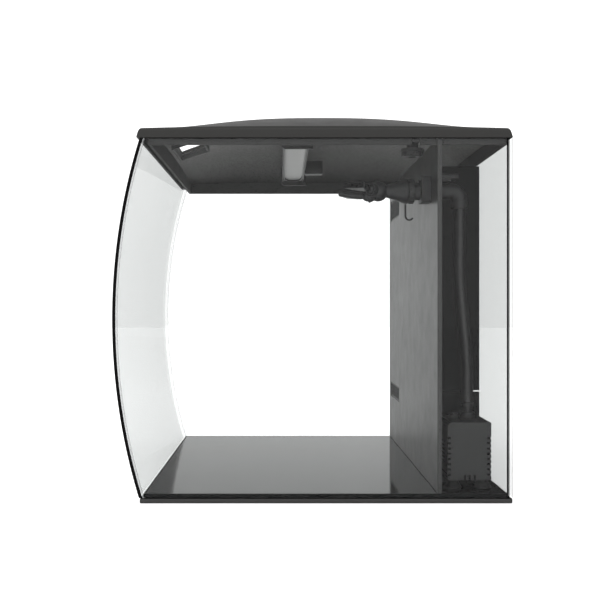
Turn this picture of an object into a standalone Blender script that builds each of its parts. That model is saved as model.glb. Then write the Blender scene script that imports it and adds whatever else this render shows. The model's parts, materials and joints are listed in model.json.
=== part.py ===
"""Nano aquarium with a bowed front glass, a domed lid with a lamp, and a rear filter compartment.

Metres, +Z up. The front faces -Y, the right side faces +X. The origin is at the centre of the
bounding box, on the surface that the tank stands on.
"""

import math

import bmesh
import bpy
from mathutils import Matrix, Vector

# ---------------------------------------------------------------- driving dimensions
GAP = 0.0003                    # clearance between neighbouring pieces

HALF_WIDTH = 0.175              # outer faces of the side glass
REAR_Y = 0.165                  # outer face of the rear glass
GLASS = 0.003                   # thickness of flat panes
SEAM = 0.0015                   # width of a silicone joint between two panes
GLASS_TOP = 0.3013

BOW_RADIUS = 0.504              # outer radius of the bowed front glass
BOW_GLASS = 0.0028
BOW_Y = 0.3388                  # axis of the bow
BOW_Z = 0.1522
BOW_STEPS = 18

TRIM_HEIGHT = 0.0042
TRIM_FRONT = -0.1425
FLOOR_LOW = TRIM_HEIGHT + GAP
FLOOR_TOP = FLOOR_LOW + GLASS

INNER_X = HALF_WIDTH - GLASS    # inner faces of the side glass
INNER_REAR = REAR_Y - GLASS     # inner face of the rear glass

# Lid
LID_X = 0.1754
LID_FRONT = -0.1453
LID_REAR = 0.1652
LID_LOW = GLASS_TOP + GAP
LID_CREASE = 0.3101
LID_RISE = 0.029
LID_POWER = 2.7
LID_SKIN = 0.003
LID_MID_Y = (LID_FRONT + LID_REAR) / 2
RIM_LOW = 0.2963
RIM_WALL = 0.0026
RIM_FRONT = -0.1362
RIM_REAR = 0.1612
FEED_X = (0.0, 0.070)
COLLAR_DEPTH = 0.0060            # how far the collar hangs below the lid
FEED_FRONT, FEED_REAR = -0.126, -0.101

# Lamp
LAMP_X = 0.1236
LAMP_Y = -0.0127
LAMP_HALF = 0.0118
LAMP_LOW, LAMP_ROOF = 0.3045, 0.3186
LAMP_SHEET = 0.0010             # wall of the housing
DIFFUSER_LOW, DIFFUSER = 0.3065, 0.0016
DIFFUSER_END = 0.024            # length over which the diffuser's corners round off
BOARD = 0.0012
CHIPS = 16
BRACKET_FRONT, BRACKET_REAR = -0.026, 0.0022
BRACKET_LOW = 0.3004
BRACKET_WALL = 0.0022

# Rear filter compartment
WALL_FRONT, WALL_REAR = 0.1035, 0.1074
WALL_TOP = 0.302
WINDOW_X = (-0.158, -0.081)
LOWER_WINDOW_Z = (0.057, 0.0734)
UPPER_WINDOW_Z = (0.262, 0.285)
DIVIDER_X = (0.0575, 0.0605)
DIVIDER_JOINT = 0.0816
DIVIDER_TOP = 0.295

# Pump and plumbing
PUMP_X = (0.104, 0.157)
PUMP_Y = (0.1145, 0.1514)
PUMP_Z = (0.0159, 0.0648)
PUMP_SEAT = 0.1186              # face that the cover plate sits against
PUMP_FRAME = 0.0045             # border of the body round the cover plate
SLOT_PITCH, SLOT = 0.0044, 0.0016
SLOTS = 8
CUP_Y = (0.1209, 0.1463)
ROTOR_X, ROTOR_Z = 0.1305, 0.0375
ROTOR_BORE = 0.0112
OUTLET_X, OUTLET_Y = 0.1305, 0.1363
DIAL_Y = 0.1243
HOSE_RADIUS = 0.0051
HOSE_BORE = 0.0036
HOSE_LOW, HOSE_TOP = 0.0797, 0.2516
HOSE_TOP_Y = 0.1295
PIPE_Z = 0.2627
PIPE_RADIUS = 0.0071

# Manifold and nozzles
BULB_Y = 0.0585
BULB = 0.0088
REACH = 0.0102                  # from the bulb's centre to a ball's centre
BALL = 0.0045                   # radius of a nozzle's ball
CUP = 0.0060                    # outer radius of its socket
UPPER_AIM = Vector((0.70, -0.71, 0.08)).normalized()
LOWER_CUP = Vector((-0.25, -0.88, -0.40)).normalized()
LOWER_AIM = Vector((-0.42, -0.89, 0.12)).normalized()


# ---------------------------------------------------------------- helpers
def clear_scene():
    for obj in list(bpy.data.objects):
        bpy.data.objects.remove(obj, do_unlink=True)


def plastic(name, grey, roughness, metallic=0.0, alpha=1.0):
    """A Principled material; grey is a number or an (r, g, b) colour."""
    colour = (grey, grey, grey) if isinstance(grey, float) else grey
    made = bpy.data.materials.new(name)
    made.use_nodes = True
    shader = made.node_tree.nodes["Principled BSDF"]
    shader.inputs["Base Color"].default_value = (*colour, 1.0)
    shader.inputs["Roughness"].default_value = roughness
    shader.inputs["Metallic"].default_value = metallic
    shader.inputs["Alpha"].default_value = alpha
    made.diffuse_color = (*colour, alpha)
    return made


def finish(name, bm, material, origin=(0, 0, 0), smooth=30):
    """Turns a bmesh in world coordinates into an object whose origin is at the point given."""
    bmesh.ops.recalc_face_normals(bm, faces=bm.faces)
    bmesh.ops.translate(bm, verts=bm.verts, vec=-Vector(origin))
    mesh = bpy.data.meshes.new(name)
    bm.to_mesh(mesh)
    bm.free()
    mesh.materials.append(material)
    mesh.shade_smooth()
    mesh.set_sharp_from_angle(angle=math.radians(smooth))
    obj = bpy.data.objects.new(name, mesh)
    obj.location = origin
    bpy.context.scene.collection.objects.link(obj)
    return obj


def add_box(bm, x, y, z, bevel=0.0, segments=2):
    """A box between the limits x, y and z, with all its edges rounded by bevel."""
    made = bmesh.ops.create_cube(bm, size=1.0)["verts"]
    size = Vector((x[1] - x[0], y[1] - y[0], z[1] - z[0]))
    centre = Vector((x[0] + x[1], y[0] + y[1], z[0] + z[1])) / 2
    bmesh.ops.transform(bm, verts=made, matrix=Matrix.Translation(centre) @ Matrix.Diagonal((*size, 1.0)))
    if bevel:
        edges = list({edge for vert in made for edge in vert.link_edges})
        bmesh.ops.bevel(bm, geom=edges, offset=bevel, segments=segments, affect="EDGES", profile=0.5)


def add_prism(bm, outline, axis, low, high):
    """Extrudes a closed outline along X or Y or Z; the outline's pairs are the other two, in order."""
    def place(pair, along):
        point = list(pair)
        point.insert("XYZ".index(axis), along)
        return bm.verts.new(point)

    bottom = [place(pair, low) for pair in outline]
    top = [place(pair, high) for pair in outline]
    bm.faces.new(bottom)
    bm.faces.new(list(reversed(top)))
    for i in range(len(outline)):
        j = (i + 1) % len(outline)
        bm.faces.new((bottom[i], top[i], top[j], bottom[j]))


def add_turned(bm, profile, centre, direction, sides=24):
    """Turns a closed profile of (radius, height) pairs about direction, starting from centre."""
    frame = Vector((0, 0, 1)).rotation_difference(Vector(direction)).to_matrix().to_4x4()
    frame = Matrix.Translation(Vector(centre)) @ frame
    rings = []
    for radius, height in profile:
        if radius == 0.0:
            rings.append([bm.verts.new(frame @ Vector((0, 0, height)))])
            continue
        turn = (2 * math.pi * i / sides for i in range(sides))
        rings.append([bm.verts.new(frame @ Vector((radius * math.cos(a), radius * math.sin(a), height)))
                      for a in turn])
    for first, second in zip(rings, rings[1:] + rings[:1]):
        if len(first) == 1 and len(second) == 1:
            continue
        for i in range(sides):
            j = (i + 1) % sides
            corners = [first[i % len(first)], second[i % len(second)],
                       second[j % len(second)], first[j % len(first)]]
            unique = [vert for n, vert in enumerate(corners) if vert not in corners[:n]]
            bm.faces.new(unique)


def rod(radius, low, high, chamfer=0.0):
    """The profile of a solid round bar, for add_turned."""
    if not chamfer:
        return [(0.0, low), (radius, low), (radius, high), (0.0, high)]
    return [(0.0, low), (radius - chamfer, low), (radius, low + chamfer),
            (radius, high - chamfer), (radius - chamfer, high), (0.0, high)]


def ring(outer, inner, low, high, chamfer=0.0):
    """The profile of a ring or tube, for add_turned."""
    if not chamfer:
        return [(inner, low), (outer, low), (outer, high), (inner, high)]
    return [(inner, low), (outer - chamfer, low), (outer, low + chamfer),
            (outer, high - chamfer), (outer - chamfer, high), (inner, high)]


def add_swept(bm, path, outer, inner=0.0, sides=12):
    """Sweeps a round bar or tube along a path of points, in the frame carried along the path."""
    points = [Vector(point) for point in path]
    tangents = []
    for i in range(len(points)):
        ahead, behind = points[min(i + 1, len(points) - 1)], points[max(i - 1, 0)]
        tangents.append((ahead - behind).normalized())
    normal = tangents[0].orthogonal().normalized()
    outside, inside = [], []
    for i, (point, tangent) in enumerate(zip(points, tangents)):
        if i:
            normal = tangents[i - 1].rotation_difference(tangent) @ normal
        side = tangent.cross(normal)
        spokes = [normal * math.cos(2 * math.pi * k / sides) + side * math.sin(2 * math.pi * k / sides)
                  for k in range(sides)]
        outside.append([bm.verts.new(point + spoke * outer) for spoke in spokes])
        if inner:
            inside.append([bm.verts.new(point + spoke * inner) for spoke in spokes])
    loops = outside + inside[::-1]
    if inner:
        loops.append(outside[0])
    else:
        bm.faces.new(outside[0])
        bm.faces.new(outside[-1][::-1])
    for first, second in zip(loops, loops[1:]):
        for k in range(sides):
            j = (k + 1) % sides
            bm.faces.new((first[k], second[k], second[j], first[j]))


def arc(centre, radius, start, end, steps):
    """Points of an arc in a plane, from one angle to another in degrees."""
    angles = (math.radians(start + (end - start) * i / steps) for i in range(steps + 1))
    return [(centre[0] + radius * math.cos(a), centre[1] + radius * math.sin(a)) for a in angles]


def rounded(low, high, radii, steps=4):
    """A rectangle's outline; radii are those of its corners, from the low one round anticlockwise."""
    corners = [(low[0], low[1], 1, 1, 180), (high[0], low[1], -1, 1, 270),
               (high[0], high[1], -1, -1, 0), (low[0], high[1], 1, -1, 90)]
    points = []
    for (x, y, inward_x, inward_y, start), radius in zip(corners, radii):
        if radius:
            centre = (x + inward_x * radius, y + inward_y * radius)
            points += arc(centre, radius, start, start + 90, steps)
        else:
            points.append((x, y))
    return points


def oval_cornered(half_x, half_y, long, short, steps=5):
    """A rectangle about the origin whose corners are quarter ellipses, long along X and short along Y."""
    points = []
    for side_x, side_y, start in ((-1, -1, 180), (1, -1, 270), (1, 1, 0), (-1, 1, 90)):
        for i in range(steps + 1):
            angle = math.radians(start + 90 * i / steps)
            points.append((side_x * (half_x - long) + long * math.cos(angle),
                           side_y * (half_y - short) + short * math.sin(angle)))
    return points


def add_frame(bm, x, y, wall, low, top, steps=12):
    """An upright rectangular ring; low and top give its heights at a point of the plan."""
    def side(start, end):
        return [(start[0] + (end[0] - start[0]) * i / steps, start[1] + (end[1] - start[1]) * i / steps)
                for i in range(steps)]

    def around(inset):
        corners = [(x[0] + inset, y[0] + inset), (x[1] - inset, y[0] + inset),
                   (x[1] - inset, y[1] - inset), (x[0] + inset, y[1] - inset)]
        return [point for n in range(4) for point in side(corners[n], corners[(n + 1) % 4])]

    outer, inner = around(0.0), around(wall)
    loops = [[bm.verts.new((*point, low(*point))) for point in outer],
             [bm.verts.new((*point, top(*point))) for point in outer],
             [bm.verts.new((*point, top(*point))) for point in inner],
             [bm.verts.new((*point, low(*point))) for point in inner]]
    for first, second in zip(loops, loops[1:] + loops[:1]):
        for i in range(len(first)):
            j = (i + 1) % len(first)
            bm.faces.new((first[i], first[j], second[j], second[i]))


def helper(name, bm):
    """A hidden mesh that is added to a piece or cut from it."""
    bmesh.ops.recalc_face_normals(bm, faces=bm.faces)
    mesh = bpy.data.meshes.new(name)
    bm.to_mesh(mesh)
    bm.free()
    obj = bpy.data.objects.new(name, mesh)
    obj.hide_render = True
    obj.display_type = "WIRE"
    bpy.context.scene.collection.objects.link(obj)
    return obj


def combine(obj, bm, operation="DIFFERENCE"):
    """Adds or cuts a bmesh in world coordinates, through an exact Boolean on the object."""
    other = helper(f"{obj.name}_{operation.lower()}_{len(obj.modifiers)}", bm)
    boolean = obj.modifiers.new(other.name, "BOOLEAN")
    boolean.operation = operation
    boolean.object = other
    boolean.solver = "EXACT"


# ---------------------------------------------------------------- tank
def bow(radius, low, high, steps=BOW_STEPS):
    """(y, z) points of the bowed front at a radius, from one height up to another."""
    start = math.asin((low - BOW_Z) / radius)
    end = math.asin((high - BOW_Z) / radius)
    angles = [start + (end - start) * i / steps for i in range(steps + 1)]
    return [(BOW_Y - radius * math.cos(a), BOW_Z + radius * math.sin(a)) for a in angles]


def floor_front():
    """The bottom glass's front edge, one silicone joint behind the front glass."""
    return bow(BOW_RADIUS - BOW_GLASS - SEAM, FLOOR_LOW, FLOOR_TOP, 1)[0][0]


def build_base():
    trim = plastic("trim_plastic", 0.055, 0.5)
    bm = bmesh.new()
    add_box(bm, (-HALF_WIDTH, HALF_WIDTH), (TRIM_FRONT, REAR_Y), (0.0, TRIM_HEIGHT),
            bevel=0.0006, segments=1)
    finish("base_trim", bm, trim)

    glass = plastic("floor_glass", 0.09, 0.06, alpha=0.9)
    bm = bmesh.new()
    side = INNER_X - SEAM
    add_box(bm, (-side, side), (floor_front(), INNER_REAR - SEAM), (FLOOR_LOW, FLOOR_TOP))
    finish("bottom_glass", bm, glass)


def build_panes():
    glass = plastic("clear_glass", (0.86, 0.88, 0.88), 0.03, alpha=0.25)
    bm = bmesh.new()
    outline = bow(BOW_RADIUS, FLOOR_LOW, GLASS_TOP)
    outline += bow(BOW_RADIUS - BOW_GLASS, FLOOR_LOW, GLASS_TOP)[::-1]
    add_prism(bm, outline, "X", -HALF_WIDTH, HALF_WIDTH)
    finish("front_glass", bm, glass)

    bm = bmesh.new()
    add_box(bm, (-HALF_WIDTH, HALF_WIDTH), (INNER_REAR, REAR_Y), (FLOOR_LOW, GLASS_TOP))
    finish("rear_glass", bm, glass)

    rear = INNER_REAR - SEAM
    outline = bow(BOW_RADIUS - BOW_GLASS - SEAM, FLOOR_LOW, GLASS_TOP)[::-1]
    outline += [(rear, FLOOR_LOW), (rear, GLASS_TOP)]
    for name, low in (("right_glass", INNER_X), ("left_glass", -HALF_WIDTH)):
        bm = bmesh.new()
        add_prism(bm, outline, "X", low, low + GLASS)
        finish(name, bm, glass)


def build_silicone():
    clear = plastic("clear_silicone", (0.75, 0.76, 0.76), 0.35, alpha=0.6)
    bead = SEAM - 2 * GAP
    inner = BOW_RADIUS - BOW_GLASS - SEAM + GAP
    outline = bow(inner, FLOOR_LOW, GLASS_TOP) + bow(inner + bead, FLOOR_LOW, GLASS_TOP)[::-1]
    rear = (INNER_REAR - SEAM + GAP, INNER_REAR - GAP)
    for side, low in (("right", INNER_X), ("left", -HALF_WIDTH)):
        bm = bmesh.new()
        add_prism(bm, outline, "X", low, low + GLASS)
        finish(f"front_silicone_{side}", bm, clear)
        bm = bmesh.new()
        add_box(bm, (low, low + GLASS), rear, (FLOOR_LOW, GLASS_TOP))
        finish(f"rear_silicone_{side}", bm, clear)

    side = INNER_X - GAP
    bm = bmesh.new()
    add_frame(bm, (-side, side), (floor_front() - GAP - bead, rear[1]), bead,
              lambda x, y: FLOOR_LOW, lambda x, y: FLOOR_TOP, 1)
    finish("bottom_silicone", bm, clear)


# ---------------------------------------------------------------- rear filter compartment
def add_grille(bm, x, z, bars=12):
    """A plate that fills a window of the rear partition; returns the upright slots to cut in it."""
    add_box(bm, (x[0] + GAP, x[1] - GAP), (WALL_FRONT + 0.0008, WALL_REAR - 0.0008), (z[0] + GAP, z[1] - GAP))
    slots = bmesh.new()
    pitch = (x[1] - x[0] - 0.004) / bars
    for i in range(bars):
        left = x[0] + 0.003 + i * pitch
        add_box(slots, (left, left + pitch * 0.62), (WALL_FRONT, WALL_REAR), (z[0] + 0.0022, z[1] - 0.0022))
    return slots


def build_partition():
    black = plastic("wall_plastic", 0.16, 0.55)
    bm = bmesh.new()
    side = INNER_X - GAP
    add_box(bm, (-side, side), (WALL_FRONT, WALL_REAR), (FLOOR_TOP + GAP, WALL_TOP))
    wall = finish("rear_partition", bm, black)
    windows = bmesh.new()
    for z in (LOWER_WINDOW_Z, UPPER_WINDOW_Z):
        add_box(windows, WINDOW_X, (WALL_FRONT - 0.01, WALL_REAR + 0.01), z)
    add_turned(windows, rod(PIPE_RADIUS + GAP, 0.0, 0.02), (OUTLET_X, WALL_FRONT - 0.01, PIPE_Z), (0, 1, 0))
    combine(wall, windows)

    dark = plastic("grille_plastic", 0.05, 0.5)
    for name, z in (("lower_intake_grille", LOWER_WINDOW_Z), ("upper_intake_grille", UPPER_WINDOW_Z)):
        bm = bmesh.new()
        slots = add_grille(bm, WINDOW_X, z)
        combine(finish(name, bm, dark), slots)

    divider = plastic("divider_plastic", 0.045, 0.5)
    y = (WALL_REAR + GAP, INNER_REAR - GAP)
    bm = bmesh.new()
    add_box(bm, DIVIDER_X, y, (DIVIDER_JOINT + 0.0014, DIVIDER_TOP))
    finish("divider_upper", bm, divider)
    bm = bmesh.new()
    add_box(bm, DIVIDER_X, y, (FLOOR_TOP + GAP, DIVIDER_JOINT))
    finish("divider_lower", bm, divider)


def build_media():
    """The media cartridge behind the divider: a frame with shelves, a handle, and three media packs."""
    frame_plastic = plastic("cartridge_plastic", 0.035, 0.5)
    x, y = (-0.1, 0.052), (WALL_REAR + 0.0036, 0.1558)
    low, top = FLOOR_TOP + GAP, 0.276
    wall = 0.002
    bm = bmesh.new()
    add_box(bm, x, y, (low, top))
    frame = finish("cartridge_frame", bm, frame_plastic)
    rooms = bmesh.new()
    shelves = (low + wall, 0.092, 0.184, top)
    for room_low, room_top in zip(shelves, shelves[1:]):
        roof = top + 0.01 if room_top == top else room_top - wall
        add_box(rooms, (x[0] + wall, x[1] - wall), (y[0] - 0.01, y[1] - wall), (room_low, roof))
    combine(frame, rooms)

    posts = (-0.092, 0.044)
    bm = bmesh.new()
    for post in posts:
        add_box(bm, (post - 0.002, post + 0.002), (0.12, 0.127), (0.264, 0.2905), bevel=0.0005, segments=1)
    handle = finish("cartridge_handle", bm, frame_plastic)
    grip = bmesh.new()
    add_turned(grip, rod(0.0032, posts[0] - 0.004, posts[1] + 0.004, 0.0008), (0, 0.1235, 0.2905), (1, 0, 0), 14)
    combine(handle, grip, "UNION")

    packs = (("foam_block", plastic("foam", 0.03, 0.95), shelves[0], shelves[1] - wall),
             ("carbon_bag", plastic("carbon", 0.06, 0.9), shelves[1], shelves[2] - wall),
             ("ceramic_media_bag", plastic("ceramic", (0.62, 0.58, 0.52), 0.85), shelves[2], 0.262))
    for name, material, pack_low, pack_top in packs:
        bm = bmesh.new()
        add_box(bm, (x[0] + wall + 0.001, x[1] - wall - 0.001), (y[0] + 0.001, y[1] - wall - 0.001),
                (pack_low + GAP, pack_top - 0.001), bevel=0.002)
        finish(name, bm, material)


# ---------------------------------------------------------------- pump
def build_pump():
    body_plastic = plastic("pump_plastic", 0.075, 0.42)
    bm = bmesh.new()
    outline = rounded((PUMP_Y[0], PUMP_Z[0]), (PUMP_Y[1], PUMP_Z[1]), (0.0012, 0.0012, 0.0012, 0.004))
    add_prism(bm, outline, "X", *PUMP_X)
    body = finish("pump_body", bm, body_plastic)
    cuts = bmesh.new()
    first = PUMP_Z[0] + 0.0040
    for side_x in PUMP_X:
        for i in range(SLOTS):
            z = first + i * SLOT_PITCH
            for slot_y, length in ((PUMP_Y[0], 0.0028), (PUMP_Y[1], 0.0036)):
                add_box(cuts, (side_x - 0.0025, side_x + 0.0025), (slot_y - length, slot_y + length), (z, z + SLOT))
        for i in range(3):
            y = OUTLET_Y - 0.0030 + (i - 1) * 0.0041
            add_box(cuts, (side_x - 0.0015, side_x + 0.0015), (y - SLOT / 2, y + SLOT / 2),
                    (PUMP_Z[0] - 0.001, PUMP_Z[0] + 0.0045))
    combine(body, cuts)
    plate_x = (PUMP_X[0] + PUMP_FRAME, PUMP_X[1] - PUMP_FRAME)
    plate_z = (PUMP_Z[0] + PUMP_FRAME, PUMP_Z[1] - PUMP_FRAME - 0.002)
    recess = bmesh.new()
    add_box(recess, plate_x, (PUMP_Y[0] - 0.001, PUMP_SEAT), plate_z)
    combine(body, recess)
    chamber = bmesh.new()
    add_turned(chamber, rod(ROTOR_BORE, -0.001, 0.024), (ROTOR_X, PUMP_SEAT, ROTOR_Z), (0, 1, 0))
    combine(body, chamber)
    outlet = bmesh.new()
    outlet_low = ROTOR_Z + 0.006
    add_turned(outlet, rod(0.0032, outlet_low, PUMP_Z[1] + 0.001), (OUTLET_X, OUTLET_Y, 0), (0, 0, 1), 16)
    combine(body, outlet)

    bm = bmesh.new()
    outline = rounded((plate_x[0] + GAP, plate_z[0] + GAP), (plate_x[1] - GAP, plate_z[1] - GAP), (0.0005,) * 4)
    add_prism(bm, outline, "Y", PUMP_Y[0] + 0.0004, PUMP_SEAT - GAP)
    cover = finish("pump_cover", bm, plastic("pump_cover_plastic", 0.045, 0.45))
    slots = bmesh.new()
    for i in range(6):
        z = ROTOR_Z + (i - 2.5) * 0.0034
        add_box(slots, (ROTOR_X - 0.008, ROTOR_X + 0.008), (PUMP_Y[0] - 0.01, PUMP_SEAT + 0.01),
                (z - SLOT / 2, z + SLOT / 2))
    combine(cover, slots)

    profile = [(0.0, 0.0016), (0.0055, 0.0004), (0.0078, 0.0), (0.0074, 0.0012), (0.0052, 0.0040),
               (0.0046, 0.0078), (0.0, 0.0078)]
    rubber = plastic("cup_rubber", 0.02, 0.6)
    for side, x in (("left", PUMP_X[0] + 0.012), ("right", PUMP_X[1] - 0.012)):
        for end, y in zip(("front", "rear"), CUP_Y):
            bm = bmesh.new()
            add_turned(bm, profile, (x, y, FLOOR_TOP + GAP), (0, 0, 1), 20)
            finish(f"suction_cup_{end}_{side}", bm, rubber)

    bm = bmesh.new()
    profile = [(0.0, 0.0), (0.0040, 0.0), (0.0040, 0.0020), (0.0030, 0.0026), (0.0024, 0.0070), (0.0, 0.0070)]
    add_turned(bm, profile, (PUMP_X[0] - GAP, 0.1330, 0.0540), (-1, 0, 0), 16)
    finish("pump_lead_gland", bm, rubber)


def build_rotor():
    """The magnet with its impeller, on a fixed shaft between two bushes along Y."""
    seat = PUMP_SEAT
    bm = bmesh.new()
    add_turned(bm, ring(0.0058, 0.0014, seat + 0.0062, seat + 0.0215, 0.0005), (ROTOR_X, 0, ROTOR_Z),
               (0, 1, 0), 20)
    rotor = finish("pump_rotor", bm, plastic("magnet", 0.03, 0.35), origin=(ROTOR_X, seat, ROTOR_Z))
    impeller = bmesh.new()
    add_turned(impeller, ring(0.0034, 0.0014, seat + 0.0012, seat + 0.0066), (ROTOR_X, 0, ROTOR_Z),
               (0, 1, 0), 16)
    combine(rotor, impeller, "UNION")
    for i in range(6):
        blade = bmesh.new()
        add_box(blade, (0.0030, 0.0102), (seat + 0.0014, seat + 0.0064), (-0.0005, 0.0005))
        turn = Matrix.Rotation(math.radians(60 * i), 4, "Y")
        bmesh.ops.transform(blade, verts=blade.verts, matrix=Matrix.Translation((ROTOR_X, 0, ROTOR_Z)) @ turn)
        combine(rotor, blade, "UNION")

    ceramic = plastic("shaft_ceramic", 0.7, 0.25)
    bm = bmesh.new()
    add_turned(bm, rod(0.0011, seat + 0.0004, seat + 0.0236), (ROTOR_X, 0, ROTOR_Z), (0, 1, 0), 12)
    finish("rotor_shaft", bm, ceramic)
    rubber = plastic("bush_rubber", 0.04, 0.7)
    for name, low in (("front_shaft_bush", seat - 0.0001), ("rear_shaft_bush", seat + 0.0219)):
        bm = bmesh.new()
        add_turned(bm, ring(0.0030, 0.00125, low, low + 0.0009), (ROTOR_X, 0, ROTOR_Z), (0, 1, 0), 16)
        finish(name, bm, rubber)


def build_outlet():
    top = PUMP_Z[1] + GAP
    centre = (OUTLET_X, OUTLET_Y, 0)
    bm = bmesh.new()
    add_turned(bm, ring(0.0066, 0.0042, top, top + 0.0058, 0.0005), centre, (0, 0, 1))
    finish("outlet_collar", bm, plastic("collar_plastic", 0.06, 0.45))

    profile = [(0.0024, top), (0.0038, top), (0.0038, 0.0762), (0.0056, 0.0762), (0.0056, 0.0792),
               (0.0030, 0.0792), (0.0033, 0.0840), (0.0030, 0.0846), (0.0033, 0.0900), (0.0028, 0.0915),
               (0.0024, 0.0915)]
    bm = bmesh.new()
    add_turned(bm, profile, centre, (0, 0, 1), 20)
    finish("hose_barb", bm, plastic("barb_plastic", 0.055, 0.4))

    bm = bmesh.new()
    add_turned(bm, rod(0.0041, top, top + 0.0042, 0.0006), (OUTLET_X, DIAL_Y, 0), (0, 0, 1), 20)
    dial = finish("flow_dial", bm, plastic("dial_plastic", 0.04, 0.45), origin=(OUTLET_X, DIAL_Y, top))
    pointer = bmesh.new()
    add_box(pointer, (OUTLET_X - 0.0006, OUTLET_X + 0.0046), (DIAL_Y - 0.0007, DIAL_Y + 0.0007),
            (top + 0.0034, top + 0.0054))
    combine(dial, pointer, "UNION")


# ---------------------------------------------------------------- plumbing
def hose_path(steps=22):
    """Upright at both ends, with one smooth S between the barb and the elbow."""
    bend_low, bend_top = 0.100, 0.200
    points = []
    for i in range(steps + 1):
        z = HOSE_LOW + (HOSE_TOP - HOSE_LOW) * i / steps
        t = min(max((z - bend_low) / (bend_top - bend_low), 0.0), 1.0)
        ease = t * t * (3 - 2 * t)
        points.append((OUTLET_X, OUTLET_Y + (HOSE_TOP_Y - OUTLET_Y) * ease, z))
    return points


def elbow_path():
    """Up from the hose, round a quarter turn and along -Y to the partition."""
    bend = 0.0078
    corner = (HOSE_TOP_Y - bend, PIPE_Z - bend)
    turn = arc(corner, bend, 0, 90, 5)
    start = [(HOSE_TOP_Y, 0.2472)]
    return [(OUTLET_X, y, z) for y, z in start + turn + [(0.1116, PIPE_Z)]]


def build_plumbing():
    bm = bmesh.new()
    add_swept(bm, hose_path(), HOSE_RADIUS, HOSE_BORE, 14)
    finish("hose", bm, plastic("hose_vinyl", 0.055, 0.35), smooth=60)

    dark = plastic("pipe_plastic", 0.05, 0.42)
    bm = bmesh.new()
    add_swept(bm, elbow_path(), PIPE_RADIUS - 0.0002, HOSE_RADIUS + 0.0004, 18)
    finish("elbow", bm, dark, smooth=40)

    axis = (OUTLET_X, 0, PIPE_Z)
    bm = bmesh.new()
    add_turned(bm, ring(0.0076, 0.0049, WALL_REAR + GAP, 0.1113, 0.0006), axis, (0, 1, 0), 12)
    finish("bulkhead_nut", bm, dark)

    bm = bmesh.new()
    outline = rounded((OUTLET_X - 0.011, 0.2724), (OUTLET_X + 0.011, 0.2768), (0.0004, 0.0004, 0.0015, 0.0015), 2)
    add_prism(bm, outline, "Y", WALL_REAR + GAP, 0.1268)
    clip = finish("pipe_clip", bm, dark)
    plate = bmesh.new()
    add_box(plate, (OUTLET_X - 0.009, OUTLET_X + 0.009), (WALL_REAR + GAP, 0.1210), (0.2706, 0.2730))
    combine(clip, plate, "UNION")

    outline = rounded((OUTLET_X - 0.0105, PIPE_Z - 0.0102), (OUTLET_X + 0.0105, PIPE_Z + 0.0118),
                      (0.0015, 0.0015, 0.0008, 0.0008), 2)
    bm = bmesh.new()
    add_prism(bm, outline, "Y", 0.0952, WALL_FRONT - GAP)
    bracket = finish("wall_bracket", bm, dark)
    cuts = bmesh.new()
    add_box(cuts, (OUTLET_X - 0.008, OUTLET_X + 0.008), (0.0940, 0.0968), (PIPE_Z + 0.0014, PIPE_Z + 0.0102))
    combine(bracket, cuts)
    bore = bmesh.new()
    add_turned(bore, rod(0.0050, 0.0, 0.02), (OUTLET_X, 0.09, PIPE_Z), (0, 1, 0), 20)
    combine(bracket, bore)

    profile = [(0.0034, 0.0902), (0.0077, 0.0902), (0.0077, 0.0948), (0.0046, 0.0948), (0.0046, 0.1180),
               (0.0034, 0.1180)]
    bm = bmesh.new()
    add_turned(bm, profile, (OUTLET_X, 0, PIPE_Z), (0, 1, 0), 20)
    finish("neck_tube", bm, dark)

    bm = bmesh.new()
    add_turned(bm, ring(0.0100, 0.0060, 0.0843, 0.0899, 0.0006), (OUTLET_X, 0, PIPE_Z), (0, 1, 0), 24)
    nut = finish("collar_nut", bm, plastic("nut_plastic", 0.035, 0.45))
    ribs = bmesh.new()
    for i in range(12):
        rib = bmesh.new()
        add_box(rib, (-0.0011, 0.0011), (0.0849, 0.0893), (0.0090, 0.01085))
        turn = Matrix.Translation((OUTLET_X, 0, PIPE_Z)) @ Matrix.Rotation(math.radians(30 * i), 4, "Y")
        bmesh.ops.transform(rib, verts=rib.verts, matrix=turn)
        part = bpy.data.meshes.new("rib")
        rib.to_mesh(part)
        rib.free()
        ribs.from_mesh(part)
        bpy.data.meshes.remove(part)
    combine(nut, ribs, "UNION")


# ---------------------------------------------------------------- manifold and nozzles
def sphere_profile(radius, steps=8):
    """A half circle from pole to pole, for add_turned."""
    middle = [(radius * math.sin(math.pi * i / steps), -radius * math.cos(math.pi * i / steps))
              for i in range(1, steps)]
    return [(0.0, -radius)] + middle + [(0.0, radius)]


def bulb_centre():
    return Vector((OUTLET_X, BULB_Y, PIPE_Z))


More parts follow.
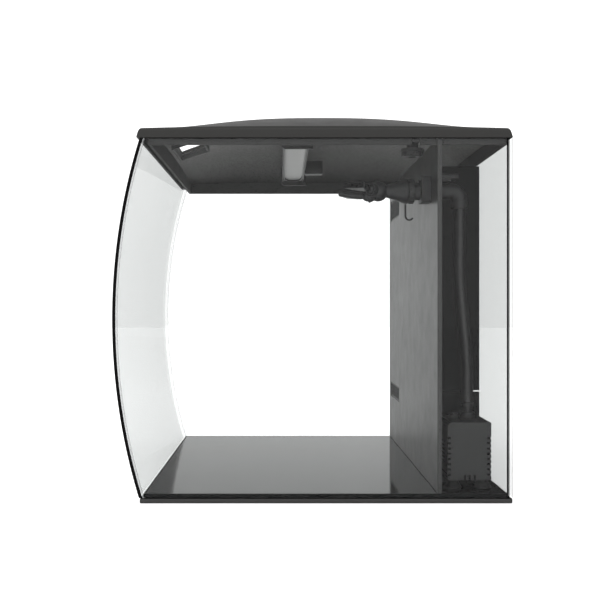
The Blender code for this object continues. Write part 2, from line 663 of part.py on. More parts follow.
def build_manifold():
    dark = plastic("manifold_plastic", 0.055, 0.4)
    axis = (OUTLET_X, 0, PIPE_Z)
    profile = [(0.0052, BULB_Y + 0.0066), (0.0109, 0.0818), (0.0111, 0.0840), (0.0056, 0.0840),
               (0.0056, 0.0890), (0.0034, 0.0890), (0.0034, BULB_Y + 0.0066)]
    bm = bmesh.new()
    add_turned(bm, profile, axis, (0, 1, 0), 24)
    manifold = finish("manifold", bm, dark, origin=(OUTLET_X, 0.0840, PIPE_Z))
    bulb = bmesh.new()
    add_turned(bulb, sphere_profile(BULB, 10), bulb_centre(), (0, 1, 0), 20)
    combine(manifold, bulb, "UNION")
    for aim in (UPPER_AIM, LOWER_CUP):
        cup = bmesh.new()
        add_turned(cup, rod(CUP, 0.003, REACH + 0.0010, 0.0005), bulb_centre(), aim, 20)
        combine(manifold, cup, "UNION")
    for aim in (UPPER_AIM, LOWER_CUP):
        socket = bmesh.new()
        add_turned(socket, sphere_profile(BALL + GAP), bulb_centre() + aim * REACH, aim, 20)
        combine(manifold, socket)
        way = bmesh.new()
        add_turned(way, rod(0.0024, 0.0, REACH), bulb_centre(), aim, 12)
        combine(manifold, way)
    way = bmesh.new()
    add_turned(way, rod(0.0034, BULB_Y, BULB_Y + 0.0080), axis, (0, 1, 0), 24)
    combine(manifold, way)

    hook_y, hook_low, hook_bend = 0.0824, 0.2412, 0.0034
    curl = arc((hook_y + hook_bend, hook_low), hook_bend, 180, 330, 7)
    path = [(OUTLET_X, hook_y, PIPE_Z - 0.0114)] + [(OUTLET_X, y, z) for y, z in curl]
    bm = bmesh.new()
    add_swept(bm, path, 0.0008, sides=8)
    finish("swivel_lever", bm, dark, smooth=60)


def stadium(half_width, half_height, steps=5):
    """A flat slot's outline with round ends, at least as wide as it is high."""
    straight = half_width - half_height
    return (arc((straight, 0), half_height, -90, 90, steps) +
            arc((-straight, 0), half_height, 90, 270, steps))


def add_fishtail(bm, centre, aim, roll=0.0):
    """A flattened nozzle that widens from a ball to a hollow slot of a mouth."""
    across = aim.cross(Vector((0, 0, 1))).normalized()
    across = Matrix.Rotation(math.radians(roll), 3, aim) @ across
    up = across.cross(aim)
    outside = [(0.0010, 0.0026, 0.0025), (0.0060, 0.0036, 0.0030), (0.0105, 0.0062, 0.0031),
               (0.0165, 0.0100, 0.0029), (0.0225, 0.0124, 0.0027)]
    inside = [(0.0225, 0.0115, 0.0018), (0.0150, 0.0080, 0.0017), (0.0095, 0.0042, 0.0014)]
    loops = []
    for along, half_width, half_height in outside + inside:
        loops.append([bm.verts.new(centre + aim * along + across * a + up * b)
                      for a, b in stadium(half_width, half_height)])
    bm.faces.new(loops[0])
    bm.faces.new(loops[-1][::-1])
    for first, second in zip(loops, loops[1:]):
        for i in range(len(first)):
            j = (i + 1) % len(first)
            bm.faces.new((first[i], first[j], second[j], second[i]))


def build_nozzles():
    dark = plastic("nozzle_plastic", 0.06, 0.35)
    for name, cup, aim, roll in (("upper_nozzle", UPPER_AIM, UPPER_AIM, -4.0),
                                 ("lower_nozzle", LOWER_CUP, LOWER_AIM, 0.0)):
        centre = bulb_centre() + cup * REACH
        bm = bmesh.new()
        add_fishtail(bm, centre, aim, roll)
        nozzle = finish(name, bm, dark, origin=centre)
        ball = bmesh.new()
        add_turned(ball, sphere_profile(BALL), centre, aim, 16)
        combine(nozzle, ball, "UNION")


# ---------------------------------------------------------------- lid
def dome(x, y):
    """Height of the lid's outer skin above a point."""
    across = min(abs(x) / LID_X, 1.0)
    along = min(abs(y - LID_MID_Y) / (LID_REAR - LID_MID_Y), 1.0)
    return LID_CREASE + LID_RISE * (1 - across ** LID_POWER) * (1 - along ** LID_POWER)


def footprint(inset, x_steps=20, y_steps=18):
    """A grid over the lid's plan, drawn in by inset; steps are closer together near the edges."""
    half_x, half_y = LID_X - inset, (LID_REAR - LID_FRONT) / 2 - inset
    return ([-half_x * math.cos(math.pi * i / x_steps) for i in range(x_steps + 1)],
            [LID_MID_Y - half_y * math.cos(math.pi * j / y_steps) for j in range(y_steps + 1)])


def edge_loop(grid):
    """The outer cells of a grid, once round."""
    last_x, last_y = len(grid) - 1, len(grid[0]) - 1
    return ([grid[i][0] for i in range(last_x)] + [grid[last_x][j] for j in range(last_y)] +
            [grid[i][last_y] for i in range(last_x, 0, -1)] + [grid[0][j] for j in range(last_y, 0, -1)])


def add_skin(bm, inset, drop):
    xs, ys = footprint(inset)
    grid = [[bm.verts.new((x, y, dome(x, y) - drop)) for y in ys] for x in xs]
    for i in range(len(xs) - 1):
        for j in range(len(ys) - 1):
            bm.faces.new((grid[i][j], grid[i + 1][j], grid[i + 1][j + 1], grid[i][j + 1]))
    return edge_loop(grid)


def add_band(bm, inset, z):
    xs, ys = footprint(inset)
    return edge_loop([[(x, y, z) for y in ys] for x in xs])


def build_lid_cover():
    shell = plastic("lid_plastic", (0.075, 0.073, 0.068), 0.45)
    bm = bmesh.new()
    loops = [add_skin(bm, 0.0040, 0.0)]
    for inset, z in ((0.0026, 0.3094), (0.0014, 0.3074), (0.0, LID_LOW), (0.0026, LID_LOW), (0.0030, 0.3068)):
        loops.append([bm.verts.new(point) for point in add_band(bm, inset, z)])
    loops.append(add_skin(bm, 0.0036, LID_SKIN))
    for first, second in zip(loops, loops[1:]):
        for i in range(len(first)):
            j = (i + 1) % len(first)
            bm.faces.new((first[i], first[j], second[j], second[i]))
    cover = finish("lid_cover", bm, shell)
    opening = bmesh.new()
    add_box(opening, FEED_X, (FEED_FRONT, FEED_REAR), (0.30, 0.35))
    combine(cover, opening)


def build_lid_rim():
    def under_skin(x, y):
        return dome(x, y) - LID_SKIN - GAP

    rim = plastic("rim_plastic", 0.07, 0.5)
    side = INNER_X - 2 * GAP
    bm = bmesh.new()
    add_frame(bm, (-side, side), (RIM_FRONT, RIM_REAR), RIM_WALL, lambda x, y: RIM_LOW, under_skin)
    frame = finish("lid_rim", bm, rim)
    notches = bmesh.new()
    for x in ((-side - 0.01, -side + 0.01), (side - 0.01, side + 0.01)):
        add_box(notches, x, (WALL_FRONT - 0.0006, WALL_REAR + 0.0006), (RIM_LOW - 0.01, WALL_TOP + 0.0006))
    add_box(notches, (side - 0.01, side + 0.01), (0.0822, 0.0894), (RIM_LOW - 0.01, 0.3040))
    combine(frame, notches)

    bm = bmesh.new()
    lip = 0.0024
    add_frame(bm, (FEED_X[0] - lip, FEED_X[1] + lip), (FEED_FRONT - lip, FEED_REAR + lip), lip,
              lambda x, y: dome(x, y) - LID_SKIN - COLLAR_DEPTH,
              lambda x, y: under_skin(x, y) - GAP, 6)
    finish("feed_opening_collar", bm, rim)


def build_lamp():
    dark = plastic("lamp_plastic", 0.03, 0.45)
    front, rear = LAMP_Y - LAMP_HALF, LAMP_Y + LAMP_HALF
    chamfer, wall = 0.004, LAMP_SHEET
    inner = chamfer + wall
    outline = [(front, LAMP_LOW), (front, LAMP_ROOF - chamfer), (front + chamfer, LAMP_ROOF),
               (rear - chamfer, LAMP_ROOF), (rear, LAMP_ROOF - chamfer), (rear, LAMP_LOW),
               (rear - wall, LAMP_LOW), (rear - wall, LAMP_ROOF - inner), (rear - inner, LAMP_ROOF - wall),
               (front + inner, LAMP_ROOF - wall), (front + wall, LAMP_ROOF - inner), (front + wall, LAMP_LOW)]
    bm = bmesh.new()
    add_prism(bm, outline, "X", -LAMP_X, LAMP_X)
    finish("lamp_housing", bm, dark)

    bm = bmesh.new()
    outline = oval_cornered(LAMP_X - 0.001, LAMP_HALF - wall - GAP, DIFFUSER_END, 0.0055)
    add_prism(bm, [(x, LAMP_Y + y) for x, y in outline], "Z", DIFFUSER_LOW, DIFFUSER_LOW + DIFFUSER)
    finish("lamp_diffuser", bm, plastic("diffuser_acrylic", 0.62, 0.3))

    board_low = DIFFUSER_LOW + DIFFUSER + 0.0014
    chip, pitch = 0.0014, 0.0144
    bm = bmesh.new()
    add_box(bm, (-0.116, 0.116), (LAMP_Y - 0.008, LAMP_Y + 0.008), (board_low, board_low + BOARD))
    board = finish("led_board", bm, plastic("board_mask", 0.6, 0.5))
    chips = bmesh.new()
    for i in range(CHIPS):
        x = (i - (CHIPS - 1) / 2) * pitch
        add_box(chips, (x - chip, x + chip), (LAMP_Y - chip, LAMP_Y + chip),
                (board_low - chip / 2, board_low + GAP))
    combine(board, chips, "UNION")

    steel = plastic("screw_steel", 0.55, 0.3, metallic=1.0)
    for name, side in (("right", 1), ("left", -1)):
        inner = LAMP_X + GAP
        x = sorted((side * inner, side * (inner + BRACKET_WALL)))
        bm = bmesh.new()
        outline = rounded((BRACKET_FRONT, BRACKET_LOW), (BRACKET_REAR, 0.3215), (0.0045, 0.0006, 0.0006, 0.0006))
        add_prism(bm, outline, "X", *x)
        finish(f"lamp_bracket_{name}", bm, dark)
        for end, y in (("front", LAMP_Y - 0.0062), ("rear", LAMP_Y + 0.0062)):
            bm = bmesh.new()
            head = [(0.0, 0.0), (0.0026, 0.0), (0.0026, 0.0008), (0.0016, 0.0017), (0.0, 0.0017)]
            add_turned(bm, head, (side * (inner + BRACKET_WALL + GAP), y, 0.3136), (side, 0, 0), 12)
            finish(f"lamp_screw_{name}_{end}", bm, steel)

    bm = bmesh.new()
    add_box(bm, (-0.072, -0.057), (rear + GAP, 0.0185), (LAMP_LOW, LAMP_ROOF), bevel=0.001)
    finish("lamp_junction_box", bm, dark)

    centre = (0.150, 0.0858, 0)
    profile = [(0.0, 0.2905), (0.0030, 0.2905), (0.0034, 0.2895), (0.0072, 0.2895), (0.0086, 0.2906),
               (0.0086, 0.2936), (0.0098, 0.2936), (0.0098, 0.2962), (0.0050, 0.2966), (0.0050, 0.3130),
               (0.0, 0.3130)]
    bm = bmesh.new()
    add_turned(bm, profile, centre, (0, 0, 1), 24)
    gland = finish("lamp_lead_gland", bm, dark)
    arm = bmesh.new()
    add_box(arm, (0.153, INNER_X - 2 * GAP), (0.0828, 0.0888), (0.2984, 0.3034), bevel=0.0004, segments=1)
    combine(gland, arm, "UNION")


def main():
    clear_scene()
    build_base()
    build_panes()
    build_silicone()
    build_partition()
    build_media()
    build_pump()
    build_rotor()
    build_outlet()
    build_plumbing()
    build_manifold()
    build_nozzles()
    build_lid_cover()
    build_lid_rim()
    build_lamp()


main()
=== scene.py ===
"""Looks of the bowed nano aquarium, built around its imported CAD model. Metres, +Z up, front at -Y."""
import json
import math
import random

import bmesh
import bpy
from mathutils import Matrix, Vector


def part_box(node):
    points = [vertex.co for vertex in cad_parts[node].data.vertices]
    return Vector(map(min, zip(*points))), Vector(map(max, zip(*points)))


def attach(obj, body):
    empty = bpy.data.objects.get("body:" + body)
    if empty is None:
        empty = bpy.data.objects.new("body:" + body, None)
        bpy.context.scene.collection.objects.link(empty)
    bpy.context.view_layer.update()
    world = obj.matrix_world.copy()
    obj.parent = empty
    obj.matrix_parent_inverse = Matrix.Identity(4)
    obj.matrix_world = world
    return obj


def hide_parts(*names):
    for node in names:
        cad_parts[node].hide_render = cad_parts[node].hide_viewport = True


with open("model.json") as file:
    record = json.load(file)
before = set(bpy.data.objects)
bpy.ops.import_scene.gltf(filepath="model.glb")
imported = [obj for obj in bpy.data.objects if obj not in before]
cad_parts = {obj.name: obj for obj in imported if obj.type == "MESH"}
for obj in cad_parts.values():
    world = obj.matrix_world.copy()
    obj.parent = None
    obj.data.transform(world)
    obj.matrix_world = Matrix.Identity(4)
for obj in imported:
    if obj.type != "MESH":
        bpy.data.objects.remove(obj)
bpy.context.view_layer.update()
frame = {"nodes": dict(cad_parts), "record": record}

NODES = frame["nodes"]
BODY_OF = {node: body for body, nodes in frame["record"]["behaviour"]["bodies"].items() for node in nodes}


# ---------------------------------------------------------------- node materials
class Shader:
    """A short way to write node materials; coordinates are the piece's own, in metres."""

    def __init__(self, name):
        self.material = bpy.data.materials.new(name)
        self.material.use_nodes = True
        self.tree = self.material.node_tree
        self.main = self.tree.nodes["Principled BSDF"]
        self.output = self.tree.nodes["Material Output"]
        self.place = self.tree.nodes.new("ShaderNodeTexCoord").outputs["Object"]

    def node(self, kind, inputs=None, **settings):
        made = self.tree.nodes.new("ShaderNode" + kind)
        for key, value in settings.items():
            setattr(made, key, value)
        for key, value in (inputs or {}).items():
            if isinstance(value, bpy.types.NodeSocket):
                self.tree.links.new(value, made.inputs[key])
            else:
                made.inputs[key].default_value = value
        return made

    def stretched(self, scale):
        return self.node("Mapping", {"Vector": self.place, "Scale": scale}).outputs["Vector"]

    def noise(self, scale, detail=3.0, roughness=0.55, vector=None):
        return self.node("TexNoise", {"Vector": vector or self.place, "Scale": scale, "Detail": detail,
                                      "Roughness": roughness}).outputs["Fac"]

    def cells(self, scale, vector=None, feature="F1"):
        return self.node("TexVoronoi", {"Vector": vector or self.place, "Scale": scale},
                         feature=feature).outputs["Distance"]

    def span(self, value, low, high, from_low=0.0, from_high=1.0):
        """Maps a value from one range to another, held within the new one."""
        return self.node("MapRange", {"Value": value, "From Min": from_low, "From Max": from_high,
                                      "To Min": low, "To Max": high}).outputs["Result"]

    def maths(self, operation, first, second=0.0):
        return self.node("Math", {0: first, 1: second}, operation=operation).outputs["Value"]

    def blend(self, factor, first, second, mode="MIX"):
        """Mixes two colours; each is a socket or an (r, g, b) tuple."""
        made = self.node("Mix", data_type="RGBA", blend_type=mode)
        for socket, value in ((made.inputs["Factor"], factor), (made.inputs[6], first),
                              (made.inputs[7], second)):
            if isinstance(value, bpy.types.NodeSocket):
                self.tree.links.new(value, socket)
            else:
                socket.default_value = (*value, 1.0) if isinstance(value, tuple) else value
        return made.outputs[2]

    def bump(self, height, strength, distance, normal=None):
        inputs = {"Height": height, "Strength": strength, "Distance": distance}
        if normal:
            inputs["Normal"] = normal
        return self.node("Bump", inputs).outputs["Normal"]

    def link(self, socket, name):
        self.tree.links.new(socket, self.main.inputs[name])

    def set(self, **values):
        for name, value in values.items():
            self.main.inputs[name.replace("_", " ").title().replace("Ior", "IOR")].default_value = value
        return self


def tone(colour, factor):
    return tuple(min(1.0, part * factor) for part in colour)


def moulded(name, colour, roughness=0.45, grain=900.0, depth=0.00006, specular=0.5, mottle=0.12, wear=0.0):
    """Injection-moulded plastic: fine spark grain, faint flow mottling and uneven gloss."""
    s = Shader(name).set(specular_ior_level=specular)
    cloud = s.noise(22.0, 4.0)
    base = s.blend(cloud, tone(colour, 1 - mottle), tone(colour, 1 + mottle))
    speck = s.span(s.noise(2600.0, 1.0), 0.0, 1.0, 0.55, 0.75)
    base = s.blend(s.maths("MULTIPLY", speck, 0.15), base, tone(colour, 1.4))
    if wear:
        scuff = s.span(s.noise(260.0, 5.0, 0.7, s.stretched((0.25, 1.0, 1.0))), 0.0, wear, 0.60, 0.78)
        base = s.blend(scuff, base, tone(colour, 2.4))
    s.link(base, "Base Color")
    s.link(s.span(s.noise(55.0, 3.0), roughness - 0.07, roughness + 0.09), "Roughness")
    coarse = s.bump(s.noise(45.0, 2.0), 0.05, 0.0004)
    s.link(s.bump(s.noise(grain, 2.0), 0.3, depth, coarse), "Normal")
    return s.material


def spark_grain_painted_falloff(name, colour):
    """Coarse spark-eroded grain inside a moulding; its colour fades from the right end to the left: painted
    light, as if lit from the right (+X) side.
    """
    s = Shader(name).set(specular_ior_level=0.15)
    # painted light: the colour runs from 0.12 times at the left (-X) end up to 1.3 times at the lit right
    # (+X) end
    along = s.span(s.node("SeparateXYZ", {"Vector": s.place}).outputs["X"], 0.0, 1.0, -0.17, 0.17)
    base = s.blend(along, tone(colour, 0.12), tone(colour, 1.3))
    grain = s.noise(480.0, 3.0, 0.6)
    shade = s.blend(s.span(grain, 0.0, 1.0, 0.35, 0.65), (0.72, 0.72, 0.72), (1.3, 1.3, 1.3))
    s.link(s.blend(1.0, base, shade, "MULTIPLY"), "Base Color")
    s.link(s.span(s.noise(60.0), 0.5, 0.62), "Roughness")
    s.link(s.bump(grain, 0.35, 0.0004), "Normal")
    return s.material


def rubbery(name, colour, roughness=0.62):
    """Soft rubber or silicone: dull, with a faint powdery bloom."""
    s = Shader(name).set(specular_ior_level=0.35)
    s.link(s.blend(s.noise(90.0, 5.0, 0.7), tone(colour, 0.8), tone(colour, 1.35)), "Base Color")
    s.link(s.span(s.noise(160.0, 4.0), roughness - 0.08, roughness + 0.12), "Roughness")
    s.link(s.bump(s.noise(700.0, 3.0), 0.35, 0.00005), "Normal")
    return s.material


def vinyl(name, colour):
    """Extruded vinyl hose: drawn lines along its length and a soft waxy gloss."""
    s = Shader(name).set(specular_ior_level=0.55, coat_weight=0.15, coat_roughness=0.25)
    lines = s.noise(420.0, 3.0, 0.6, s.stretched((1.0, 1.0, 0.02)))
    s.link(s.blend(lines, tone(colour, 0.85), tone(colour, 1.2)), "Base Color")
    s.link(s.span(s.noise(70.0, 3.0), 0.28, 0.42), "Roughness")
    s.link(s.bump(lines, 0.25, 0.00008), "Normal")
    return s.material


def metal(name, colour, roughness=0.28):
    """Turned steel: fine circular tool marks."""
    s = Shader(name).set(metallic=1.0)
    marks = s.noise(3000.0, 2.0, 0.5, s.stretched((1.0, 0.15, 1.0)))
    s.link(s.blend(marks, tone(colour, 0.85), colour), "Base Color")
    s.link(s.span(s.noise(500.0, 3.0), roughness - 0.08, roughness + 0.14), "Roughness")
    s.link(s.bump(marks, 0.2, 0.00003), "Normal")
    return s.material


def pane_glass(name, clear, grazing, shine=0.16, reflection_shade=0.0):
    """A clear pane: seen edge-on it is darker and reflects more; as seen in a reflection it can be darkened
    further with painted shade.
    """
    s = Shader(name)
    facing = s.node("LayerWeight", {"Blend": 0.5}).outputs["Facing"]
    steep = s.maths("POWER", facing, 3.0)
    smear = s.span(s.noise(9.0, 4.0, 0.6, s.stretched((1.0, 1.0, 0.35))), 0.992, 1.0, 0.35, 0.75)
    colour = s.blend(steep, clear, grazing)
    grey = s.node("CombineColor", {0: smear, 1: smear, 2: smear}).outputs[0]
    colour = s.blend(1.0, colour, grey, "MULTIPLY")
    # painted shade: rays reflected off other surfaces see the pane's colour darkened
    if reflection_shade:
        mirrored = s.span(s.node("LightPath").outputs["Is Glossy Ray"], 1.0, 1.0 - reflection_shade)
        grey = s.node("CombineColor", {0: mirrored, 1: mirrored, 2: mirrored}).outputs[0]
        colour = s.blend(1.0, colour, grey, "MULTIPLY")
    through = s.node("BsdfTransparent", {"Color": colour}).outputs["BSDF"]
    ripple = s.bump(s.noise(5.0, 1.0), 0.05, 0.0008)
    gloss = s.node("BsdfAnisotropic", {"Roughness": 0.015, "Normal": ripple}).outputs["BSDF"]
    weight = s.span(s.maths("POWER", facing, 5.0), 0.018, shine)
    mixed = s.node("MixShader", {0: weight, 1: through, 2: gloss}).outputs["Shader"]
    s.tree.links.new(mixed, s.output.inputs["Surface"])
    s.tree.nodes.remove(s.main)
    return s.material


def painted_dark_edge(name):
    """The dark edge of a pane: ground glass painted near black, painted shade for the dark look of glass seen
    end-on. From behind it is clear.
    """
    s = Shader(name).set(specular_ior_level=0.05)
    # painted shade: the edge faces are coloured near black
    s.link(s.blend(s.noise(600.0, 4.0), (0.0022, 0.0022, 0.0024), (0.006, 0.006, 0.0065)), "Base Color")
    s.link(s.span(s.noise(240.0, 3.0), 0.22, 0.38), "Roughness")
    s.link(s.bump(s.noise(1500.0, 2.0), 0.3, 0.00003), "Normal")
    behind = s.node("NewGeometry").outputs["Backfacing"]
    clear = s.node("BsdfTransparent").outputs["BSDF"]
    mixed = s.node("MixShader", {0: behind, 1: s.main.outputs["BSDF"], 2: clear}).outputs["Shader"]
    s.tree.links.new(mixed, s.output.inputs["Surface"])
    return s.material


def sealer(name):
    """Clear silicone in a joint: milky, with small ripples from the tool."""
    s = Shader(name).set(alpha=0.32, specular_ior_level=0.4)
    s.link(s.blend(s.noise(120.0, 3.0), (0.62, 0.64, 0.64), (0.75, 0.77, 0.77)), "Base Color")
    s.link(s.span(s.noise(200.0, 3.0), 0.25, 0.42), "Roughness")
    s.link(s.bump(s.noise(180.0, 3.0), 0.5, 0.0003), "Normal")
    return s.material


def dark_floor(name):
    """The bottom pane, black underneath: a polished dark surface with faint dust and wipe marks."""
    s = Shader(name).set(ior=1.26, specular_ior_level=0.5)
    dust = s.span(s.noise(900.0, 2.0), 0.0, 0.35, 0.70, 0.85)
    s.link(s.blend(dust, (0.006, 0.006, 0.0062), (0.016, 0.016, 0.016)), "Base Color")
    s.link(s.span(s.noise(14.0, 5.0, 0.65, s.stretched((0.4, 1.0, 1.0))), 0.05, 0.08, 0.3, 0.75), "Roughness")
    s.link(s.bump(s.noise(7.0, 2.0), 0.02, 0.0003), "Normal")
    return s.material


def frosted_acrylic(name):
    """The lamp's diffuser: white acrylic with fine ribs across it."""
    s = Shader(name).set(specular_ior_level=0.45)
    ribs = s.node("TexWave", {"Vector": s.place, "Scale": 90.0, "Distortion": 0.0},
                  bands_direction="X").outputs["Fac"]
    s.link(s.blend(s.noise(40.0, 3.0), (0.50, 0.50, 0.49), (0.56, 0.56, 0.55)), "Base Color")
    s.link(s.span(s.noise(300.0, 3.0), 0.30, 0.45), "Roughness")
    s.link(s.bump(ribs, 0.35, 0.00015), "Normal")
    return s.material


def open_foam(name, colour):
    """Open-cell filter foam: a web of struts round small cells, with painted shade in the cells and painted
    light on the struts.
    """
    s = Shader(name).set(specular_ior_level=0.15)
    cell = s.cells(420.0, feature="DISTANCE_TO_EDGE")
    strut = s.span(cell, 1.0, 0.0, 0.02, 0.22)
    # painted shade: the cell middles go to a quarter of the foam's colour; painted light lifts the struts to
    # 1.6 times it
    s.link(s.blend(strut, tone(colour, 0.25), tone(colour, 1.6)), "Base Color")
    s.link(s.span(s.noise(200.0), 0.85, 1.0), "Roughness")
    s.link(s.bump(strut, 0.9, 0.0009), "Normal")
    return s.material


def net_bag(name, thread, filling, grain_scale):
    """A net bag over loose media: crossing threads above grains, with painted shade in the gaps between them.
    """
    s = Shader(name).set(specular_ior_level=0.25)
    lines = []
    for axis in ("X", "Y", "Z"):
        wave = s.node("TexWave", {"Vector": s.place, "Scale": 190.0, "Distortion": 0.6, "Detail": 1.0},
                      bands_direction=axis).outputs["Fac"]
        lines.append(s.span(wave, 0.0, 1.0, 0.62, 0.92))
    mesh = s.maths("MAXIMUM", s.maths("MAXIMUM", lines[0], lines[1]), lines[2])
    grain = s.cells(grain_scale)
    # painted shade: each grain is lighter (1.3 times) at its middle and darker (0.25 times) towards the gaps
    # between grains
    stuff = s.blend(s.span(grain, 0.0, 1.0, 0.1, 0.7), tone(filling, 1.3), tone(filling, 0.25))
    s.link(s.blend(mesh, stuff, thread), "Base Color")
    s.link(s.span(s.noise(300.0), 0.7, 0.95), "Roughness")
    lump = s.bump(grain, 0.8, 0.0016)
    s.link(s.bump(mesh, 0.6, 0.0005, lump), "Normal")
    return s.material


def circuit(name):
    """A white solder-masked board with pale copper lines under the mask."""
    s = Shader(name).set(specular_ior_level=0.5)
    brick = s.node("TexBrick", {"Vector": s.place, "Scale": 70.0, "Color1": (0.62, 0.62, 0.60, 1),
                                "Color2": (0.55, 0.56, 0.53, 1), "Mortar": (0.45, 0.47, 0.43, 1),
                                "Mortar Size": 0.012})
    s.link(brick.outputs["Color"], "Base Color")
    s.link(s.span(s.noise(200.0), 0.3, 0.5), "Roughness")
    s.link(s.bump(brick.outputs["Fac"], 0.2, 0.0001), "Normal")
    return s.material


def studio_floor_paint(name):
    """The pale studio floor, lifted to the white of the backdrop where it is seen."""
    s = Shader(name).set(specular_ior_level=0.2, emission_color=(1, 1, 1, 1))
    s.link(s.maths("MULTIPLY", s.node("LightPath").outputs["Is Camera Ray"], 0.85), "Emission Strength")
    s.link(s.blend(s.noise(3.0), (0.86, 0.86, 0.86), (0.88, 0.88, 0.88)), "Base Color")
    s.link(s.span(s.noise(20.0), 0.7, 0.8), "Roughness")
    return s.material


# ---------------------------------------------------------------- mesh helpers
def piece(name, bm, materials, node=None, body=None, smooth=32.0, bevel=0.0, segments=2):
    """Turns a bmesh in the row frame into a piece; it stands for a CAD node and rides on that node's body."""
    bmesh.ops.recalc_face_normals(bm, faces=bm.faces)
    mesh = bpy.data.meshes.new(name)
    bm.to_mesh(mesh)
    bm.free()
    for material in materials if isinstance(materials, (list, tuple)) else [materials]:
        mesh.materials.append(material)
    mesh.shade_smooth()
    mesh.set_sharp_from_angle(angle=math.radians(smooth))
    made = bpy.data.objects.new(name, mesh)
    bpy.context.scene.collection.objects.link(made)
    if bevel:
        soften(made, bevel, segments)
    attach(made, body or BODY_OF[node])
    if node:
        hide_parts(node)
    return made


def soften(obj, width, segments=2):
    """Rounds an object's sharp edges a little."""
    bevel = obj.modifiers.new("edges", "BEVEL")
    bevel.width, bevel.segments, bevel.limit_method = width, segments, "ANGLE"
    bevel.angle_limit = math.radians(35)
    bevel.use_clamp_overlap = True
    bevel.harden_normals = True


def apply_modifiers(obj):
    """Leaves an object with the mesh that its modifiers make."""
    graph = bpy.context.evaluated_depsgraph_get()
    mesh = bpy.data.meshes.new_from_object(obj.evaluated_get(graph))
    obj.modifiers.clear()
    obj.data = mesh


def cut_box(obj, x, y, z, material=None, bevel=0.0):
    cutter = bmesh.new()
    add_box(cutter, x, y, z, bevel)
    boolean(obj, cutter, material=material)


def boolean(obj, bm, operation="DIFFERENCE", material=None):
    """Adds a bmesh to an object, or cuts it away; a material colours the new faces."""
    bmesh.ops.recalc_face_normals(bm, faces=bm.faces)
    mesh = bpy.data.meshes.new("cutter")
    if material:
        mesh.materials.append(material)
    bm.to_mesh(mesh)
    bm.free()
    other = bpy.data.objects.new("cutter", mesh)
    bpy.context.scene.collection.objects.link(other)
    made = obj.modifiers.new("boolean", "BOOLEAN")
    made.operation, made.object, made.solver = operation, other, "EXACT"
    made.material_mode = "TRANSFER" if material else "INDEX"
    bpy.context.view_layer.update()
    apply_modifiers(obj)
    bpy.data.objects.remove(other, do_unlink=True)
    obj.data.shade_smooth()
    obj.data.set_sharp_from_angle(angle=math.radians(32))


def add_box(bm, x, y, z, bevel=0.0, segments=2, turn=None):
    made = bmesh.ops.create_cube(bm, size=1.0)["verts"]
    size = Vector((x[1] - x[0], y[1] - y[0], z[1] - z[0]))
    centre = Vector((x[0] + x[1], y[0] + y[1], z[0] + z[1])) / 2
    matrix = Matrix.Translation(centre) @ Matrix.Diagonal((*size, 1.0))
    bmesh.ops.transform(bm, verts=made, matrix=turn @ matrix if turn else matrix)
    if bevel:
        edges = list({edge for vert in made for edge in vert.link_edges})
        bmesh.ops.bevel(bm, geom=edges, offset=bevel, segments=segments, affect="EDGES", profile=0.5)


def join_loops(bm, loops, closed=False, slot=0):
    """Bridges a row of equally long vertex loops with quads."""
    pairs = zip(loops, loops[1:] + loops[:1]) if closed else zip(loops, loops[1:])
    for first, second in pairs:
        for i in range(len(first)):
            j = (i + 1) % len(first)
            bm.faces.new((first[i], first[j], second[j], second[i])).material_index = slot


def add_prism(bm, outline, axis, low, high, slots=(0, 0)):
    """Extrudes an outline; slots are the materials of its two ends and of its sides."""
    def place(pair, along):
        point = list(pair)
        point.insert("XYZ".index(axis), along)
        return bm.verts.new(point)

    ends = [[place(pair, along) for pair in outline] for along in (low, high)]
    bm.faces.new(ends[0]).material_index = slots[0]
    bm.faces.new(ends[1][::-1]).material_index = slots[0]
    join_loops(bm, ends, slot=slots[1])


def add_turned(bm, profile, centre, direction, sides=64, closed=True):
    """Turns a profile of (radius, height) pairs about direction, starting from centre."""
    turn = Vector((0, 0, 1)).rotation_difference(Vector(direction)).to_matrix().to_4x4()
    place = Matrix.Translation(Vector(centre)) @ turn
    rings = []
    for radius, height in profile:
        if radius == 0.0:
            rings.append([bm.verts.new(place @ Vector((0, 0, height)))])
        else:
            rings.append([bm.verts.new(place @ Vector((radius * math.cos(a), radius * math.sin(a), height)))
                          for a in (2 * math.pi * i / sides for i in range(sides))])
    for first, second in zip(rings, rings[1:] + (rings[:1] if closed else [])):
        if len(first) == 1 and len(second) == 1:
            continue
        for i in range(sides):
            j = (i + 1) % sides
            corners = [first[i % len(first)], second[i % len(second)],
                       second[j % len(second)], first[j % len(first)]]
            bm.faces.new([vert for n, vert in enumerate(corners) if vert not in corners[:n]])


def rod(radius, low, high, round_off=0.0003):
    """Profile of a solid bar with rounded rims."""
    r, c = radius, min(round_off, radius / 3)
    return ([(0.0, low)] + [(r - c + c * math.sin(a), low + c - c * math.cos(a)) for a in quarter()] +
            [(r - c + c * math.cos(a), high - c + c * math.sin(a)) for a in quarter()] + [(0.0, high)])


def tube(outer, inner, low, high, round_off=0.0003):
    """Profile of a tube with rounded outer rims."""
    r, c = outer, min(round_off, (outer - inner) / 3)
    return ([(inner, low)] + [(r - c + c * math.sin(a), low + c - c * math.cos(a)) for a in quarter()] +
            [(r - c + c * math.cos(a), high - c + c * math.sin(a)) for a in quarter()] + [(inner, high)])


def quarter(steps=3):
    return [math.pi / 2 * i / steps for i in range(steps + 1)]


def arc(centre, radius, start, end, steps):
    angles = (math.radians(start + (end - start) * i / steps) for i in range(steps + 1))
    return [(centre[0] + radius * math.cos(a), centre[1] + radius * math.sin(a)) for a in angles]


def rounded(low, high, radii, steps=8):
    """A rectangle's outline with its own radius at each corner, anticlockwise from the low one."""
    corners = [(low[0], low[1], 1, 1, 180), (high[0], low[1], -1, 1, 270),
               (high[0], high[1], -1, -1, 0), (low[0], high[1], 1, -1, 90)]
    points = []
    for (x, y, inward_x, inward_y, start), radius in zip(corners, radii):
        points += arc((x + inward_x * radius, y + inward_y * radius), radius, start, start + 90, steps)
    return points


